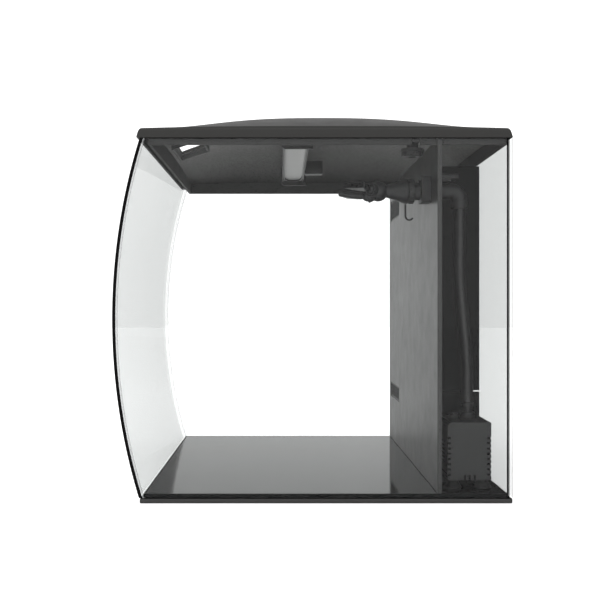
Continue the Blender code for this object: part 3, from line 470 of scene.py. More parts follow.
def add_swept(bm, path, outer, inner=0.0, sides=40):
    """Sweeps a bar or tube along a path; outer may be a function of the share of the path."""
    points = [Vector(point) for point in path]
    last = len(points) - 1
    tangents = [(points[min(i + 1, last)] - points[max(i - 1, 0)]).normalized() for i in range(last + 1)]
    normal = tangents[0].orthogonal().normalized()
    outside, inside = [], []
    for i, (point, tangent) in enumerate(zip(points, tangents)):
        if i:
            normal = tangents[i - 1].rotation_difference(tangent) @ normal
        side = tangent.cross(normal)
        radius = outer(i / last) if callable(outer) else outer
        spokes = [normal * math.cos(a) + side * math.sin(a) for a in
                  (2 * math.pi * k / sides for k in range(sides))]
        outside.append([bm.verts.new(point + spoke * radius) for spoke in spokes])
        if inner:
            inside.append([bm.verts.new(point + spoke * inner) for spoke in spokes])
    if inner:
        join_loops(bm, outside + inside[::-1], closed=True)
    else:
        join_loops(bm, outside)
        bm.faces.new(outside[0])
        bm.faces.new(outside[-1][::-1])


def finer(node, material, bevel=0.0003, segments=2):
    """A copy of a CAD node with its edges rounded, standing for it."""
    source = NODES[node]
    bm = bmesh.new()
    bm.from_mesh(source.data)
    bmesh.ops.remove_doubles(bm, verts=bm.verts, dist=0.000005)
    bmesh.ops.dissolve_limit(bm, angle_limit=math.radians(0.5), verts=bm.verts, edges=bm.edges)
    return piece(f"{node}_finished", bm, material, node, bevel=bevel, segments=segments)


# ---------------------------------------------------------------- studio
CAMERA_PLACE = (0.944, -0.0251, 0.1637)    # square on to the right side, looking along -X
LENS, SENSOR, SHIFT = 55.1, 36.0, 0.0377
BACKDROP, AMBIENT = 1.5, 0.95              # the white surroundings as seen, and as a light


def build_studio():
    scene = bpy.context.scene
    camera = bpy.data.objects.new("camera", bpy.data.cameras.new("camera"))
    camera.location = CAMERA_PLACE
    camera.rotation_euler = (math.radians(90), 0, math.radians(90))
    camera.data.lens, camera.data.sensor_width, camera.data.shift_x = LENS, SENSOR, SHIFT
    camera.data.clip_start, camera.data.clip_end = 0.01, 50.0
    scene.collection.objects.link(camera)
    scene.camera = camera
    scene.view_settings.view_transform = "Standard"

    world = bpy.data.worlds.new("studio")
    world.use_nodes = True
    background = world.node_tree.nodes["Background"]
    background.inputs["Color"].default_value = (1, 1, 1, 1)
    path = world.node_tree.nodes.new("ShaderNodeLightPath")
    level = world.node_tree.nodes.new("ShaderNodeMapRange")
    level.inputs["To Min"].default_value, level.inputs["To Max"].default_value = AMBIENT, BACKDROP
    world.node_tree.links.new(path.outputs["Is Camera Ray"], level.inputs["Value"])
    world.node_tree.links.new(level.outputs["Result"], background.inputs["Strength"])
    scene.world = world

    bm = bmesh.new()
    bmesh.ops.create_circle(bm, cap_ends=True, radius=6.0, segments=96)
    mesh = bpy.data.meshes.new("studio_floor")
    bm.to_mesh(mesh)
    bm.free()
    mesh.materials.append(studio_floor_paint("studio_floor"))
    floor = bpy.data.objects.new("studio_floor", mesh)
    scene.collection.objects.link(floor)

    for name, place, size, power in (("key", (0.5, -1.9, 0.9), 1.4, 4.0),
                                     ("fill", (1.3, -0.2, 0.02), 0.7, 3.5)):
        light = bpy.data.objects.new(name, bpy.data.lights.new(name, "AREA"))
        light.data.size, light.data.energy = size, power
        light.location = place
        light.rotation_mode = "QUATERNION"
        light.rotation_quaternion = (Vector((0, 0, 0.17)) - Vector(place)).to_track_quat("-Z", "Y")
        light.visible_glossy = False
        scene.collection.objects.link(light)


# ---------------------------------------------------------------- panes
BOW_RADIUS, BOW_Y, BOW_Z = 0.504, 0.3388, 0.1522    # the front pane's outer arc, in the Y-Z plane
PANE = 0.0028                                       # thickness of the bowed pane
ARRIS = 0.00035                                     # ground corner along a pane's edges


def bow(radius, low, high, steps=72):
    start, end = math.asin((low - BOW_Z) / radius), math.asin((high - BOW_Z) / radius)
    angles = [start + (end - start) * i / steps for i in range(steps + 1)]
    return [(BOW_Y - radius * math.cos(a), BOW_Z + radius * math.sin(a)) for a in angles]


def build_panes():
    edge = painted_dark_edge("pane_edge")
    side = pane_glass("side_pane_glass", (0.975, 0.98, 0.978), (0.78, 0.79, 0.79))
    bowed = pane_glass("front_pane_glass", (0.965, 0.97, 0.968), (0.68, 0.685, 0.685), shine=0.34, reflection_shade=0.6)
    rear = pane_glass("rear_pane_glass", (0.955, 0.96, 0.958), (0.50, 0.505, 0.505), reflection_shade=0.9)

    low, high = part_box("front_glass")
    bm = bmesh.new()
    outline = bow(BOW_RADIUS, low.z, high.z) + bow(BOW_RADIUS - PANE, low.z, high.z)[::-1]
    add_prism(bm, outline, "X", low.x, high.x, slots=(1, 0))
    mark_narrow(bm, PANE * 1.4)
    piece("front_pane", bm, [bowed, edge], "front_glass", bevel=ARRIS).modifiers[0].material = 1

    low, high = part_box("rear_glass")
    bm = bmesh.new()
    add_box(bm, (low.x, high.x), (low.y, high.y), (low.z, high.z))
    mark_narrow(bm, (high.y - low.y) * 1.4)
    piece("rear_pane", bm, [rear, edge], "rear_glass", bevel=ARRIS).modifiers[0].material = 1

    for node in ("right_glass", "left_glass"):
        low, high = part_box(node)
        gap = BOW_RADIUS - PANE - 0.0015
        bm = bmesh.new()
        outline = bow(gap, low.z, high.z)[::-1] + [(high.y, low.z), (high.y, high.z)]
        add_prism(bm, outline, "X", low.x, high.x, slots=(0, 1))
        piece(node.replace("glass", "pane"), bm, [side, edge], node, bevel=ARRIS)

    low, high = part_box("bottom_glass")
    bm = bmesh.new()
    add_box(bm, (low.x, high.x), (low.y, high.y), (low.z, high.z))
    piece("floor_pane", bm, dark_floor("floor_pane"), "bottom_glass", bevel=ARRIS)

    clear = sealer("silicone")
    # The right rear joint and the bottom joint take the near-black pane edge, painted shade; the other joints
    # are clear silicone.
    for node in ("front_silicone_right", "front_silicone_left", "rear_silicone_right", "rear_silicone_left"):
        NODES[node].data.materials.clear()
        NODES[node].data.materials.append(edge if node == "rear_silicone_right" else clear)
    NODES["bottom_silicone"].data.materials.clear()
    NODES["bottom_silicone"].data.materials.append(edge)


def mark_narrow(bm, width):
    """Gives the faces along a pane's thin edges the second material."""
    for face in bm.faces:
        lengths = [edge.calc_length() for edge in face.edges]
        if (min(lengths) < width and max(lengths) > 10 * width and len(lengths) == 4
                and abs(face.normal.x) < 0.5):
            face.material_index = 1


# ---------------------------------------------------------------- lid
LID_X, LID_FRONT, LID_REAR = 0.1754, -0.1453, 0.1652
LID_LOW, LID_CREASE, LID_RISE, LID_POWER, LID_SKIN = 0.3016, 0.3101, 0.029, 2.7, 0.003
LID_MID = (LID_FRONT + LID_REAR) / 2
COLLAR_LIP = 0.0024                                 # the feed collar's reach past its opening
RIM_WALL = 0.0026
POST_Y, POST_TOP = (0.0822, 0.0894), 0.3040         # notch in the rim for the lead gland's post


def dome(x, y):
    across = min(abs(x) / LID_X, 1.0)
    along = min(abs(y - LID_MID) / (LID_REAR - LID_MID), 1.0)
    return LID_CREASE + LID_RISE * (1 - across ** LID_POWER) * (1 - along ** LID_POWER)


def lid_plan(inset, x_steps=72, y_steps=64):
    half_x, half_y = LID_X - inset, (LID_REAR - LID_FRONT) / 2 - inset
    return ([-half_x * math.cos(math.pi * i / x_steps) for i in range(x_steps + 1)],
            [LID_MID - half_y * math.cos(math.pi * j / y_steps) for j in range(y_steps + 1)])


def once_round(grid):
    last_x, last_y = len(grid) - 1, len(grid[0]) - 1
    return ([grid[i][0] for i in range(last_x)] + [grid[last_x][j] for j in range(last_y)] +
            [grid[i][last_y] for i in range(last_x, 0, -1)] + [grid[0][j] for j in range(last_y, 0, -1)])


def add_skin(bm, inset, drop):
    xs, ys = lid_plan(inset)
    grid = [[bm.verts.new((x, y, dome(x, y) - drop)) for y in ys] for x in xs]
    for i in range(len(xs) - 1):
        for j in range(len(ys) - 1):
            bm.faces.new((grid[i][j], grid[i + 1][j], grid[i + 1][j + 1], grid[i][j + 1]))
    return once_round(grid)


def add_band(bm, inset, z):
    xs, ys = lid_plan(inset)
    return [bm.verts.new((*point, z)) for point in once_round([[(x, y) for y in ys] for x in xs])]


def frame_loops(bm, x, y, wall, low, top, steps):
    """An upright rectangular ring whose lower and upper edges follow functions of the plan."""
    def around(inset):
        corners = [(x[0] + inset, y[0] + inset), (x[1] - inset, y[0] + inset),
                   (x[1] - inset, y[1] - inset), (x[0] + inset, y[1] - inset)]
        points = []
        for n in range(4):
            start, end = corners[n], corners[(n + 1) % 4]
            points += [(start[0] + (end[0] - start[0]) * i / steps,
                        start[1] + (end[1] - start[1]) * i / steps)
                       for i in range(steps)]
        return points

    outer, inner = around(0.0), around(wall)
    join_loops(bm, [[bm.verts.new((*point, low(*point))) for point in outer],
                    [bm.verts.new((*point, top(*point))) for point in outer],
                    [bm.verts.new((*point, top(*point))) for point in inner],
                    [bm.verts.new((*point, low(*point))) for point in inner]], closed=True)


def build_lid():
    skin = moulded("lid_plastic", (0.035, 0.0345, 0.033), 0.50, grain=1300.0, specular=0.22,
                   mottle=0.06, wear=0.10)
    bm = bmesh.new()
    loops = [add_skin(bm, 0.0040, 0.0)]
    for inset, z in ((0.0033, 0.30995), (0.0026, 0.3094), (0.0020, 0.3086), (0.0014, 0.3074),
                     (0.0007, 0.3050), (0.0001, 0.3022), (0.0003, LID_LOW + 0.0001), (0.0006, LID_LOW),
                     (0.0022, LID_LOW), (0.0026, LID_LOW + 0.0003), (0.0030, 0.3068)):
        loops.append(add_band(bm, inset, z))
    outside = len(bm.faces)
    loops.append(add_skin(bm, 0.0036, LID_SKIN))
    for face in list(bm.faces)[outside:]:
        face.material_index = 1
    join_loops(bm, loops)
    # The lid's underside takes the spark grain with painted light, lighter towards its right (+X) end.
    cover = piece("lid_shell", bm, [skin, spark_grain_painted_falloff("lid_underside_plastic", (0.30, 0.298, 0.290))],
                  "lid_cover", smooth=50)
    low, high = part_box("feed_opening_collar")
    opening = bmesh.new()
    add_box(opening, (low.x + COLLAR_LIP, high.x - COLLAR_LIP), (low.y + COLLAR_LIP, high.y - COLLAR_LIP),
            (0.29, 0.36))
    boolean(cover, opening)

    rim = moulded("lid_inner_plastic", (0.034, 0.034, 0.0335), 0.55, specular=0.4, grain=800.0,
                  depth=0.0001, mottle=0.10)
    low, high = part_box("lid_rim")
    bm = bmesh.new()
    frame_loops(bm, (low.x, high.x), (low.y, high.y), RIM_WALL, lambda x, y: low.z,
                lambda x, y: dome(x, y) - LID_SKIN - 0.0003, 40)
    ring = piece("lid_skirt", bm, rim, "lid_rim", smooth=40)
    wall_low, wall_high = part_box("rear_partition")
    for side in (-1, 1):
        notch = bmesh.new()
        x = sorted((side * (high.x + 0.01), side * (high.x - 0.01)))
        add_box(notch, x, (wall_low.y - 0.0006, wall_high.y + 0.0006), (low.z - 0.01, wall_high.z + 0.0006))
        boolean(ring, notch)
    notch = bmesh.new()
    add_box(notch, (high.x - 0.01, high.x + 0.01), POST_Y, (low.z - 0.01, POST_TOP))
    boolean(ring, notch)
    soften(ring, 0.0004, 2)

    finer("feed_opening_collar", rim, 0.0004)


def build_lamp():
    dark = moulded("lamp_plastic", (0.022, 0.022, 0.022), 0.42, grain=1100.0, mottle=0.1)
    lit = moulded("bracket_plastic", (0.022, 0.022, 0.022), 0.40, grain=1100.0, mottle=0.08)
    finer("lamp_housing", dark, 0.0002)
    low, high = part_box("lamp_diffuser")
    middle_y = (low.y + high.y) / 2
    half_x, half_y = high.x, (high.y - low.y) / 2
    bm = bmesh.new()
    add_prism(bm, [(x, middle_y + y) for x, y in oval_cornered(half_x, half_y)], "Z", low.z, high.z)
    piece("lamp_lens", bm, frosted_acrylic("diffuser"), "lamp_diffuser", bevel=0.0003)
    build_bezel(half_x, half_y, middle_y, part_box("lamp_housing")[0].z + 0.0002, low.z - 0.0002, dark)
    finer("led_board", circuit("led_board"), 0.00015, 1)
    for side in ("right", "left"):
        low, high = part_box(f"lamp_bracket_{side}")
        bm = bmesh.new()
        outline = rounded((low.y, low.z), (high.y, high.z), (0.0045, 0.0006, 0.0006, 0.0006))
        add_prism(bm, outline, "X", low.x, high.x)
        piece(f"lamp_end_plate_{side}", bm, lit, f"lamp_bracket_{side}", bevel=0.0004)
        for end in ("front", "rear"):
            build_screw(f"lamp_screw_{side}_{end}", 1 if side == "right" else -1)
    finer("lamp_junction_box", dark, 0.0003)

    low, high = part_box("lamp_lead_gland")
    centre = (0.150, 0.0858, 0)
    z = low.z
    profile = [(0.0, z + 0.0012), (0.0026, z + 0.0011), (0.0031, z + 0.0003), (0.0036, z), (0.0070, z),
               (0.0080, z + 0.0004), (0.0085, z + 0.0012), (0.0086, z + 0.0040), (0.0096, z + 0.0042),
               (0.0098, z + 0.0046), (0.0098, z + 0.0063), (0.0095, z + 0.0067), (0.0050, z + 0.0071),
               (0.0050, high.z), (0.0, high.z)]
    bm = bmesh.new()
    add_turned(bm, profile, centre, (0, 0, 1), 72)
    gland = piece("lead_gland", bm, dark, "lamp_lead_gland")
    for i in range(16):
        rib = bmesh.new()
        turn = Matrix.Translation(centre) @ Matrix.Rotation(2 * math.pi * i / 16, 4, "Z")
        add_box(rib, (0.0080, 0.0092), (-0.0005, 0.0005), (z + 0.0010, z + 0.0041), bevel=0.0002, turn=turn)
        boolean(gland, rib, "UNION")
    arm = bmesh.new()
    add_box(arm, (0.153, high.x), (0.0828, 0.0888), (0.2984, 0.3034), bevel=0.0004)
    boolean(gland, arm, "UNION")


def oval_cornered(half_x, half_y, long=0.036, short=0.0065, steps=12):
    """A rectangle about the origin whose corners are quarter ellipses, long along X and short along Y."""
    points = []
    for side_x, side_y, start in ((-1, -1, 180), (1, -1, 270), (1, 1, 0), (-1, 1, 90)):
        for i in range(steps + 1):
            angle = math.radians(start + 90 * i / steps)
            points.append((side_x * (half_x - long) + long * math.cos(angle),
                           side_y * (half_y - short) + short * math.sin(angle)))
    return points


def build_bezel(half_x, half_y, middle_y, low, high, dark):
    """The frame under the diffuser: square outside, round-cornered inside, with a bead round the window."""
    inside = oval_cornered(half_x - 0.0012, half_y - 0.0008)
    count = len(inside) // 4
    corners = ((-1, -1), (1, -1), (1, 1), (-1, 1))
    outside = [(corners[i // count][0] * half_x, corners[i // count][1] * half_y) for i in range(len(inside))]
    spread = [(x + (a - x) * 0.96, y + (b - y) * 0.96) for (x, y), (a, b) in zip(inside, outside)]
    bm = bmesh.new()
    loops = [[bm.verts.new((x, middle_y + y, z)) for x, y in plan]
             for plan, z in ((inside, low), (inside, high), (spread, high), (spread, low))]
    join_loops(bm, loops, closed=True)
    piece("lamp_bezel", bm, dark, body=BODY_OF["lamp_housing"])
    bead = bmesh.new()
    grey = moulded("bezel_bead_plastic", (0.10, 0.10, 0.10), 0.35, grain=1500.0)
    path = [(x * 1.004, middle_y + y * 1.03, low) for x, y in inside]
    loops = []
    for i, (x, y, z) in enumerate(path):
        ahead, behind = Vector(path[(i + 1) % len(path)]), Vector(path[i - 1])
        side = (ahead - behind).cross(Vector((0, 0, 1))).normalized()
        loops.append([bead.verts.new(Vector((x, y, z)) + side * 0.0005 * math.cos(a) +
                                     Vector((0, 0, 0.0004 * math.sin(a)))) for a in
                      (2 * math.pi * k / 10 for k in range(10))])
    join_loops(bead, loops, closed=True)
    piece("lamp_bezel_bead", bead, grey, body=BODY_OF["lamp_housing"], smooth=70)


def build_screw(node, side):
    """A pan head with a cross recess, seen end on."""
    low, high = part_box(node)
    centre = (low + high) / 2
    seat = low.x if side > 0 else high.x
    height = high.x - low.x
    bm = bmesh.new()
    crown = [(0.0026 * math.cos(a), 0.0006 + (height - 0.0006) * math.sin(a)) for a in quarter(6)[:-1]]
    profile = [(0.0, 0.0), (0.0026, 0.0)] + crown + [(0.0, height)]
    add_turned(bm, profile, (seat, centre.y, centre.z), (side, 0, 0), 40)
    screw = piece(f"{node}_head", bm, metal("screw_steel", (0.56, 0.56, 0.55)), node)
    for turn in (0.0, math.pi / 2):
        slot = bmesh.new()
        place = Matrix.Translation((seat + side * height, centre.y, centre.z)) @ Matrix.Rotation(turn, 4, "X")
        add_box(slot, (-0.0008, 0.0008), (-0.0015, 0.0015), (-0.0003, 0.0003), turn=place)
        boolean(screw, slot)


# ---------------------------------------------------------------- filter wall and media
def build_wall():
    wall = moulded("filter_wall_plastic", (0.014, 0.014, 0.014), 0.36, grain=1500.0,
                   depth=0.00003, specular=0.8, mottle=0.10)
    finer("rear_partition", wall, 0.0003)
    dark = moulded("grille_plastic", (0.016, 0.016, 0.016), 0.5)
    finer("lower_intake_grille", dark, 0.0002)
    finer("upper_intake_grille", dark, 0.0002)
    slab = moulded("divider_plastic", (0.004, 0.004, 0.0042), 0.5, grain=1500.0,
                   depth=0.00003, specular=0.3, mottle=0.08)
    finer("divider_upper", slab, 0.0004)
    finer("divider_lower", slab, 0.0004)


def build_media():
    dark = moulded("cartridge_plastic", (0.020, 0.020, 0.020), 0.5)
    finer("cartridge_frame", dark, 0.0004)
    finer("cartridge_handle", dark, 0.0003)
    pad("foam_pad", "foam_block", open_foam("foam", (0.022, 0.022, 0.024)), 0.0015, 0.85)
    pad("carbon_pouch", "carbon_bag",
        net_bag("carbon", (0.10, 0.10, 0.10), (0.03, 0.03, 0.03), 330.0), 0.006, 0.6)
    pad("ceramic_pouch", "ceramic_media_bag",
        net_bag("ceramic", (0.55, 0.54, 0.50), (0.50, 0.46, 0.40), 150.0), 0.007, 0.6)


def pad(name, node, material, sag, fill):
    """A soft pack inside its CAD box: crowned faces, pulled-in sides and an uneven surface."""
    low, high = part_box(node)
    centre, half = (low + high) / 2, (high - low) / 2
    bm = bmesh.new()
    bmesh.ops.create_cube(bm, size=2.0)
    bmesh.ops.subdivide_edges(bm, edges=bm.edges[:], cuts=31, use_grid_fill=True)
    rand = random.Random(node)
    bumps = [(Vector([rand.uniform(-1, 1) for _ in range(3)]), rand.uniform(0.2, 1.0)) for _ in range(60)]
    for vert in bm.verts:
        share = vert.co.copy()
        for axis in range(3):
            others = [share[k] for k in range(3) if k != axis]
            pull = (1 - abs(others[0]) ** 3) * (1 - abs(others[1]) ** 3)
            if abs(abs(share[axis]) - 1) < 1e-4:
                inward = sag * (1 - 0.9 * pull)
                wave = sum(size * math.exp(-((share - spot).length * 3.2) ** 2) for spot, size in bumps)
                inward += sag * 0.35 * min(wave, 1.5) / 1.5
                vert.co[axis] = share[axis] * (1 - inward / half[axis])
        vert.co = Vector(centre[k] + vert.co[k] * half[k] for k in range(3))
    bmesh.ops.smooth_vert(bm, verts=bm.verts, factor=0.5, use_axis_x=True, use_axis_y=True, use_axis_z=True)
    made = piece(name, bm, material, node, smooth=70)
    hem = bmesh.new()
    seam = 0.0007
    corner = 0.006
    plan = rounded((low.x + sag, low.z + sag), (high.x - sag, high.z - sag), (corner,) * 4, 5)
    path = [(x, centre.y, z) for x, z in plan]
    if fill < 0.8:
        add_swept(hem, path + path[:2], seam, sides=8)
        piece(f"{name}_seam", hem, material, body=BODY_OF[node], smooth=60)


# ---------------------------------------------------------------- pump
SLOT_PITCH, SLOT = 0.0044, 0.0016


def build_pump():
    shell = moulded("pump_plastic", (0.019, 0.019, 0.0195), 0.45, grain=1200.0, mottle=0.07, wear=0.05)
    hollow = moulded("slot_shadow", (0.004, 0.004, 0.004), 0.9, specular=0.05)
    low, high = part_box("pump_body")
    cover_low, cover_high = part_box("pump_cover")
    bm = bmesh.new()
    outline = rounded((low.y, low.z), (high.y, high.z), (0.0012, 0.0012, 0.0012, 0.004))
    add_prism(bm, outline, "X", low.x, high.x)
    body = piece("pump_shell", bm, [shell, hollow], "pump_body")
    outlet, rotor = middle("outlet_collar"), middle("rotor_shaft")
    for side_x in (low.x, high.x):
        for i in range(8):
            z = low.z + 0.0040 + i * SLOT_PITCH
            for slot_y, length in ((low.y, 0.0028), (high.y, 0.0036)):
                cut_box(body, (side_x - 0.0025, side_x + 0.0025), (slot_y - length, slot_y + length),
                        (z, z + SLOT), hollow)
        for i in range(3):
            y = outlet.y - 0.0030 + (i - 1) * 0.0041
            cut_box(body, (side_x - 0.0015, side_x + 0.0015), (y - SLOT / 2, y + SLOT / 2),
                    (low.z - 0.001, low.z + 0.0045), hollow)
    gap = 0.0003
    cut_box(body, (cover_low.x - gap, cover_high.x + gap), (low.y - 0.001, cover_high.y + gap),
            (cover_low.z - gap, cover_high.z + gap), hollow)
    chamber = bmesh.new()
    add_turned(chamber, rod(0.0112, -0.001, 0.024), (rotor.x, cover_high.y + gap, rotor.z), (0, 1, 0))
    boolean(body, chamber, material=hollow)
    way = bmesh.new()
    add_turned(way, rod(0.0032, rotor.z + 0.006, high.z + 0.001), (outlet.x, outlet.y, 0), (0, 0, 1))
    boolean(body, way, material=hollow)
    mark_inside(body, low, high)
    soften(body, 0.0003)

    bm = bmesh.new()
    add_prism(bm, rounded((cover_low.x, cover_low.z), (cover_high.x, cover_high.z), (0.0006,) * 4), "Y",
              cover_low.y, cover_high.y)
    face = moulded("pump_cover_plastic", (0.026, 0.026, 0.027), 0.45)
    cover = piece("pump_face", bm, [face, hollow], "pump_cover")
    for i in range(6):
        z = rotor.z + (i - 2.5) * 0.0034
        cut_box(cover, (rotor.x - 0.008, rotor.x + 0.008), (cover_low.y - 0.01, cover_high.y + 0.01),
                (z - SLOT / 2, z + SLOT / 2), hollow, 0.0006)
    soften(cover, 0.0003)

    rubber = rubbery("cup_rubber", (0.014, 0.014, 0.014))
    for end in ("front", "rear"):
        for side in ("left", "right"):
            build_cup(f"suction_cup_{end}_{side}", rubber)
    low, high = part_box("pump_lead_gland")
    profile = [(0.0, 0.0), (0.0037, 0.0), (0.0040, 0.0003), (0.0040, 0.0018), (0.0037, 0.0021)]
    for i in range(4):
        z = 0.0026 + i * 0.0011
        radius = 0.0031 - 0.00018 * i
        profile += [(radius - 0.0004, z - 0.0003), (radius, z), (radius, z + 0.0004),
                    (radius - 0.0004, z + 0.0006)]
    profile += [(0.0023, 0.0070), (0.0, 0.0070)]
    bm = bmesh.new()
    add_turned(bm, profile, (high.x, (low.y + high.y) / 2, (low.z + high.z) / 2), (-1, 0, 0), 48)
    piece("pump_cable_gland", bm, rubber, "pump_lead_gland")
    for node in ("front_shaft_bush", "rear_shaft_bush"):
        finer(node, rubber, 0.0001, 1)
    finer("rotor_shaft", moulded("shaft_ceramic", (0.62, 0.62, 0.60), 0.2, mottle=0.02), 0.0001, 1)
    finer("pump_rotor", moulded("magnet_plastic", (0.020, 0.020, 0.022), 0.35), 0.00015, 1)


def mark_inside(obj, low, high, margin=0.0002):
    """Gives the faces that lie wholly inside a box the second material."""
    for face in obj.data.polygons:
        if all(low[k] + margin < face.center[k] < high[k] - margin for k in range(3)):
            face.material_index = 1


def middle(node):
    low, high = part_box(node)
    return (low + high) / 2


def build_cup(node, rubber):
    low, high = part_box(node)
    centre = (low + high) / 2
    profile = [(0.0, 0.0016), (0.0030, 0.0013), (0.0055, 0.0005), (0.0070, 0.0001), (0.0076, 0.0),
               (0.0078, 0.0002),
               (0.0077, 0.0006), (0.0071, 0.0014), (0.0060, 0.0028), (0.0053, 0.0040), (0.0050, 0.0048),
               (0.0050, 0.0053), (0.0046, 0.0056), (0.0046, 0.0074), (0.0043, 0.0078), (0.0, 0.0078)]
    bm = bmesh.new()
    add_turned(bm, profile, (centre.x, centre.y, low.z), (0, 0, 1), 56)
    piece(f"{node}_soft", bm, rubber, node, smooth=50)


# ---------------------------------------------------------------- plumbing
def build_plumbing():
    fitting = moulded("fitting_plastic", (0.020, 0.020, 0.0205), 0.42, grain=1300.0, mottle=0.08)
    collar = middle("outlet_collar")
    low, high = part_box("outlet_collar")
    bm = bmesh.new()
    add_turned(bm, tube(0.0066, 0.0042, low.z, high.z, 0.0006), (collar.x, collar.y, 0), (0, 0, 1), 72)
    piece("outlet_ring", bm, fitting, "outlet_collar")

    low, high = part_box("hose_barb")
    top = low.z
    profile = [(0.0024, top), (0.0038, top), (0.0038, 0.0760), (0.0041, 0.0762), (0.0054, 0.0762),
               (0.0056, 0.0764),
               (0.0056, 0.0790), (0.0054, 0.0792), (0.0030, 0.0792), (0.0030, 0.0805), (0.0033, 0.0840),
               (0.0030, 0.0844), (0.0030, 0.0860), (0.0033, 0.0900), (0.0028, 0.0915), (0.0024, 0.0915)]
    bm = bmesh.new()
    add_turned(bm, profile, (collar.x, collar.y, 0), (0, 0, 1), 64)
    piece("barb", bm, fitting, "hose_barb")
    finer("flow_dial", moulded("dial_plastic", (0.026, 0.026, 0.026), 0.4), 0.0003)

    low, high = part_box("hose")
    hose_bottom, hose_top, upper_y = low.z, high.z, 0.1295
    path = []
    for i in range(161):
        z = hose_bottom + (hose_top - hose_bottom) * i / 160
        t = min(max((z - 0.100) / (0.200 - 0.100), 0.0), 1.0)
        path.append((collar.x, collar.y + (upper_y - collar.y) * t * t * (3 - 2 * t), z))
    bm = bmesh.new()
    add_swept(bm, path, 0.0051, 0.0036, 48)
    piece("pump_hose", bm, vinyl("hose_vinyl", (0.016, 0.016, 0.0165)), "hose", smooth=60)

    pipe_z = middle("bulkhead_nut").z
    bend = 0.0078
    turn = arc((upper_y - bend, pipe_z - bend), bend, 0, 90, 24)
    start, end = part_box("elbow")[0].z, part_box("elbow")[0].y
    bm = bmesh.new()
    centreline = [(upper_y, start), (upper_y, start + 0.0006), (upper_y, start + 0.0040)] + turn
    centreline += [(upper_y - bend - 0.004, pipe_z), (end + 0.0006, pipe_z), (end, pipe_z)]
    add_swept(bm, [(collar.x, y, z) for y, z in centreline], 0.0069, 0.0055, 64)
    piece("elbow_pipe", bm, fitting, "elbow", smooth=40, bevel=0.0003)

    low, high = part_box("bulkhead_nut")
    bm = bmesh.new()
    add_turned(bm, tube(0.0076, 0.0049, low.y, high.y, 0.0005), (collar.x, 0, pipe_z), (0, 1, 0), 64)
    nut = piece("wall_nut", bm, fitting, "bulkhead_nut")
    for i in range(10):
        flute = bmesh.new()
        place = Matrix.Translation((collar.x, 0, pipe_z)) @ Matrix.Rotation(2 * math.pi * i / 10, 4, "Y")
        add_box(flute, (-0.0006, 0.0006), (low.y - 0.001, high.y + 0.001), (0.0070, 0.0082), turn=place)
        boolean(nut, flute)
    finer("pipe_clip", fitting, 0.0003)
    finer("wall_bracket", fitting, 0.0003)

    profile = [(0.0034, 0.0902), (0.0075, 0.0902), (0.0077, 0.0904), (0.0077, 0.0946), (0.0075, 0.0948),
               (0.0046, 0.0948), (0.0046, 0.1180), (0.0034, 0.1180)]
    bm = bmesh.new()
    add_turned(bm, profile, (collar.x, 0, pipe_z), (0, 1, 0), 72)
    piece("neck", bm, fitting, "neck_tube")

    low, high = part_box("collar_nut")
    bm = bmesh.new()
    add_turned(bm, tube(0.0100, 0.0060, low.y, high.y, 0.0006), (collar.x, 0, pipe_z), (0, 1, 0), 96)
    nut = piece("swivel_collar", bm, moulded("collar_plastic", (0.022, 0.022, 0.022), 0.45), "collar_nut")
    for i in range(12):
        rib = bmesh.new()
        place = Matrix.Translation((collar.x, 0, pipe_z)) @ Matrix.Rotation(2 * math.pi * i / 12, 4, "Y")
        add_box(rib, (-0.0011, 0.0011), (low.y + 0.0006, high.y - 0.0006), (0.0090, 0.01085),
                bevel=0.0004, turn=place)
        boolean(nut, rib, "UNION")


# ---------------------------------------------------------------- manifold and nozzles
BULB_Y, BULB, REACH, BALL, CUP = 0.0585, 0.0088, 0.0102, 0.0045, 0.0060
UPPER_AIM = Vector((0.70, -0.71, 0.08)).normalized()
LOWER_CUP = Vector((-0.25, -0.88, -0.40)).normalized()
LOWER_AIM = Vector((-0.42, -0.89, 0.12)).normalized()


def ball_profile(radius, steps=24):
    around = [(radius * math.sin(math.pi * i / steps), -radius * math.cos(math.pi * i / steps))
              for i in range(1, steps)]
    return [(0.0, -radius)] + around + [(0.0, radius)]


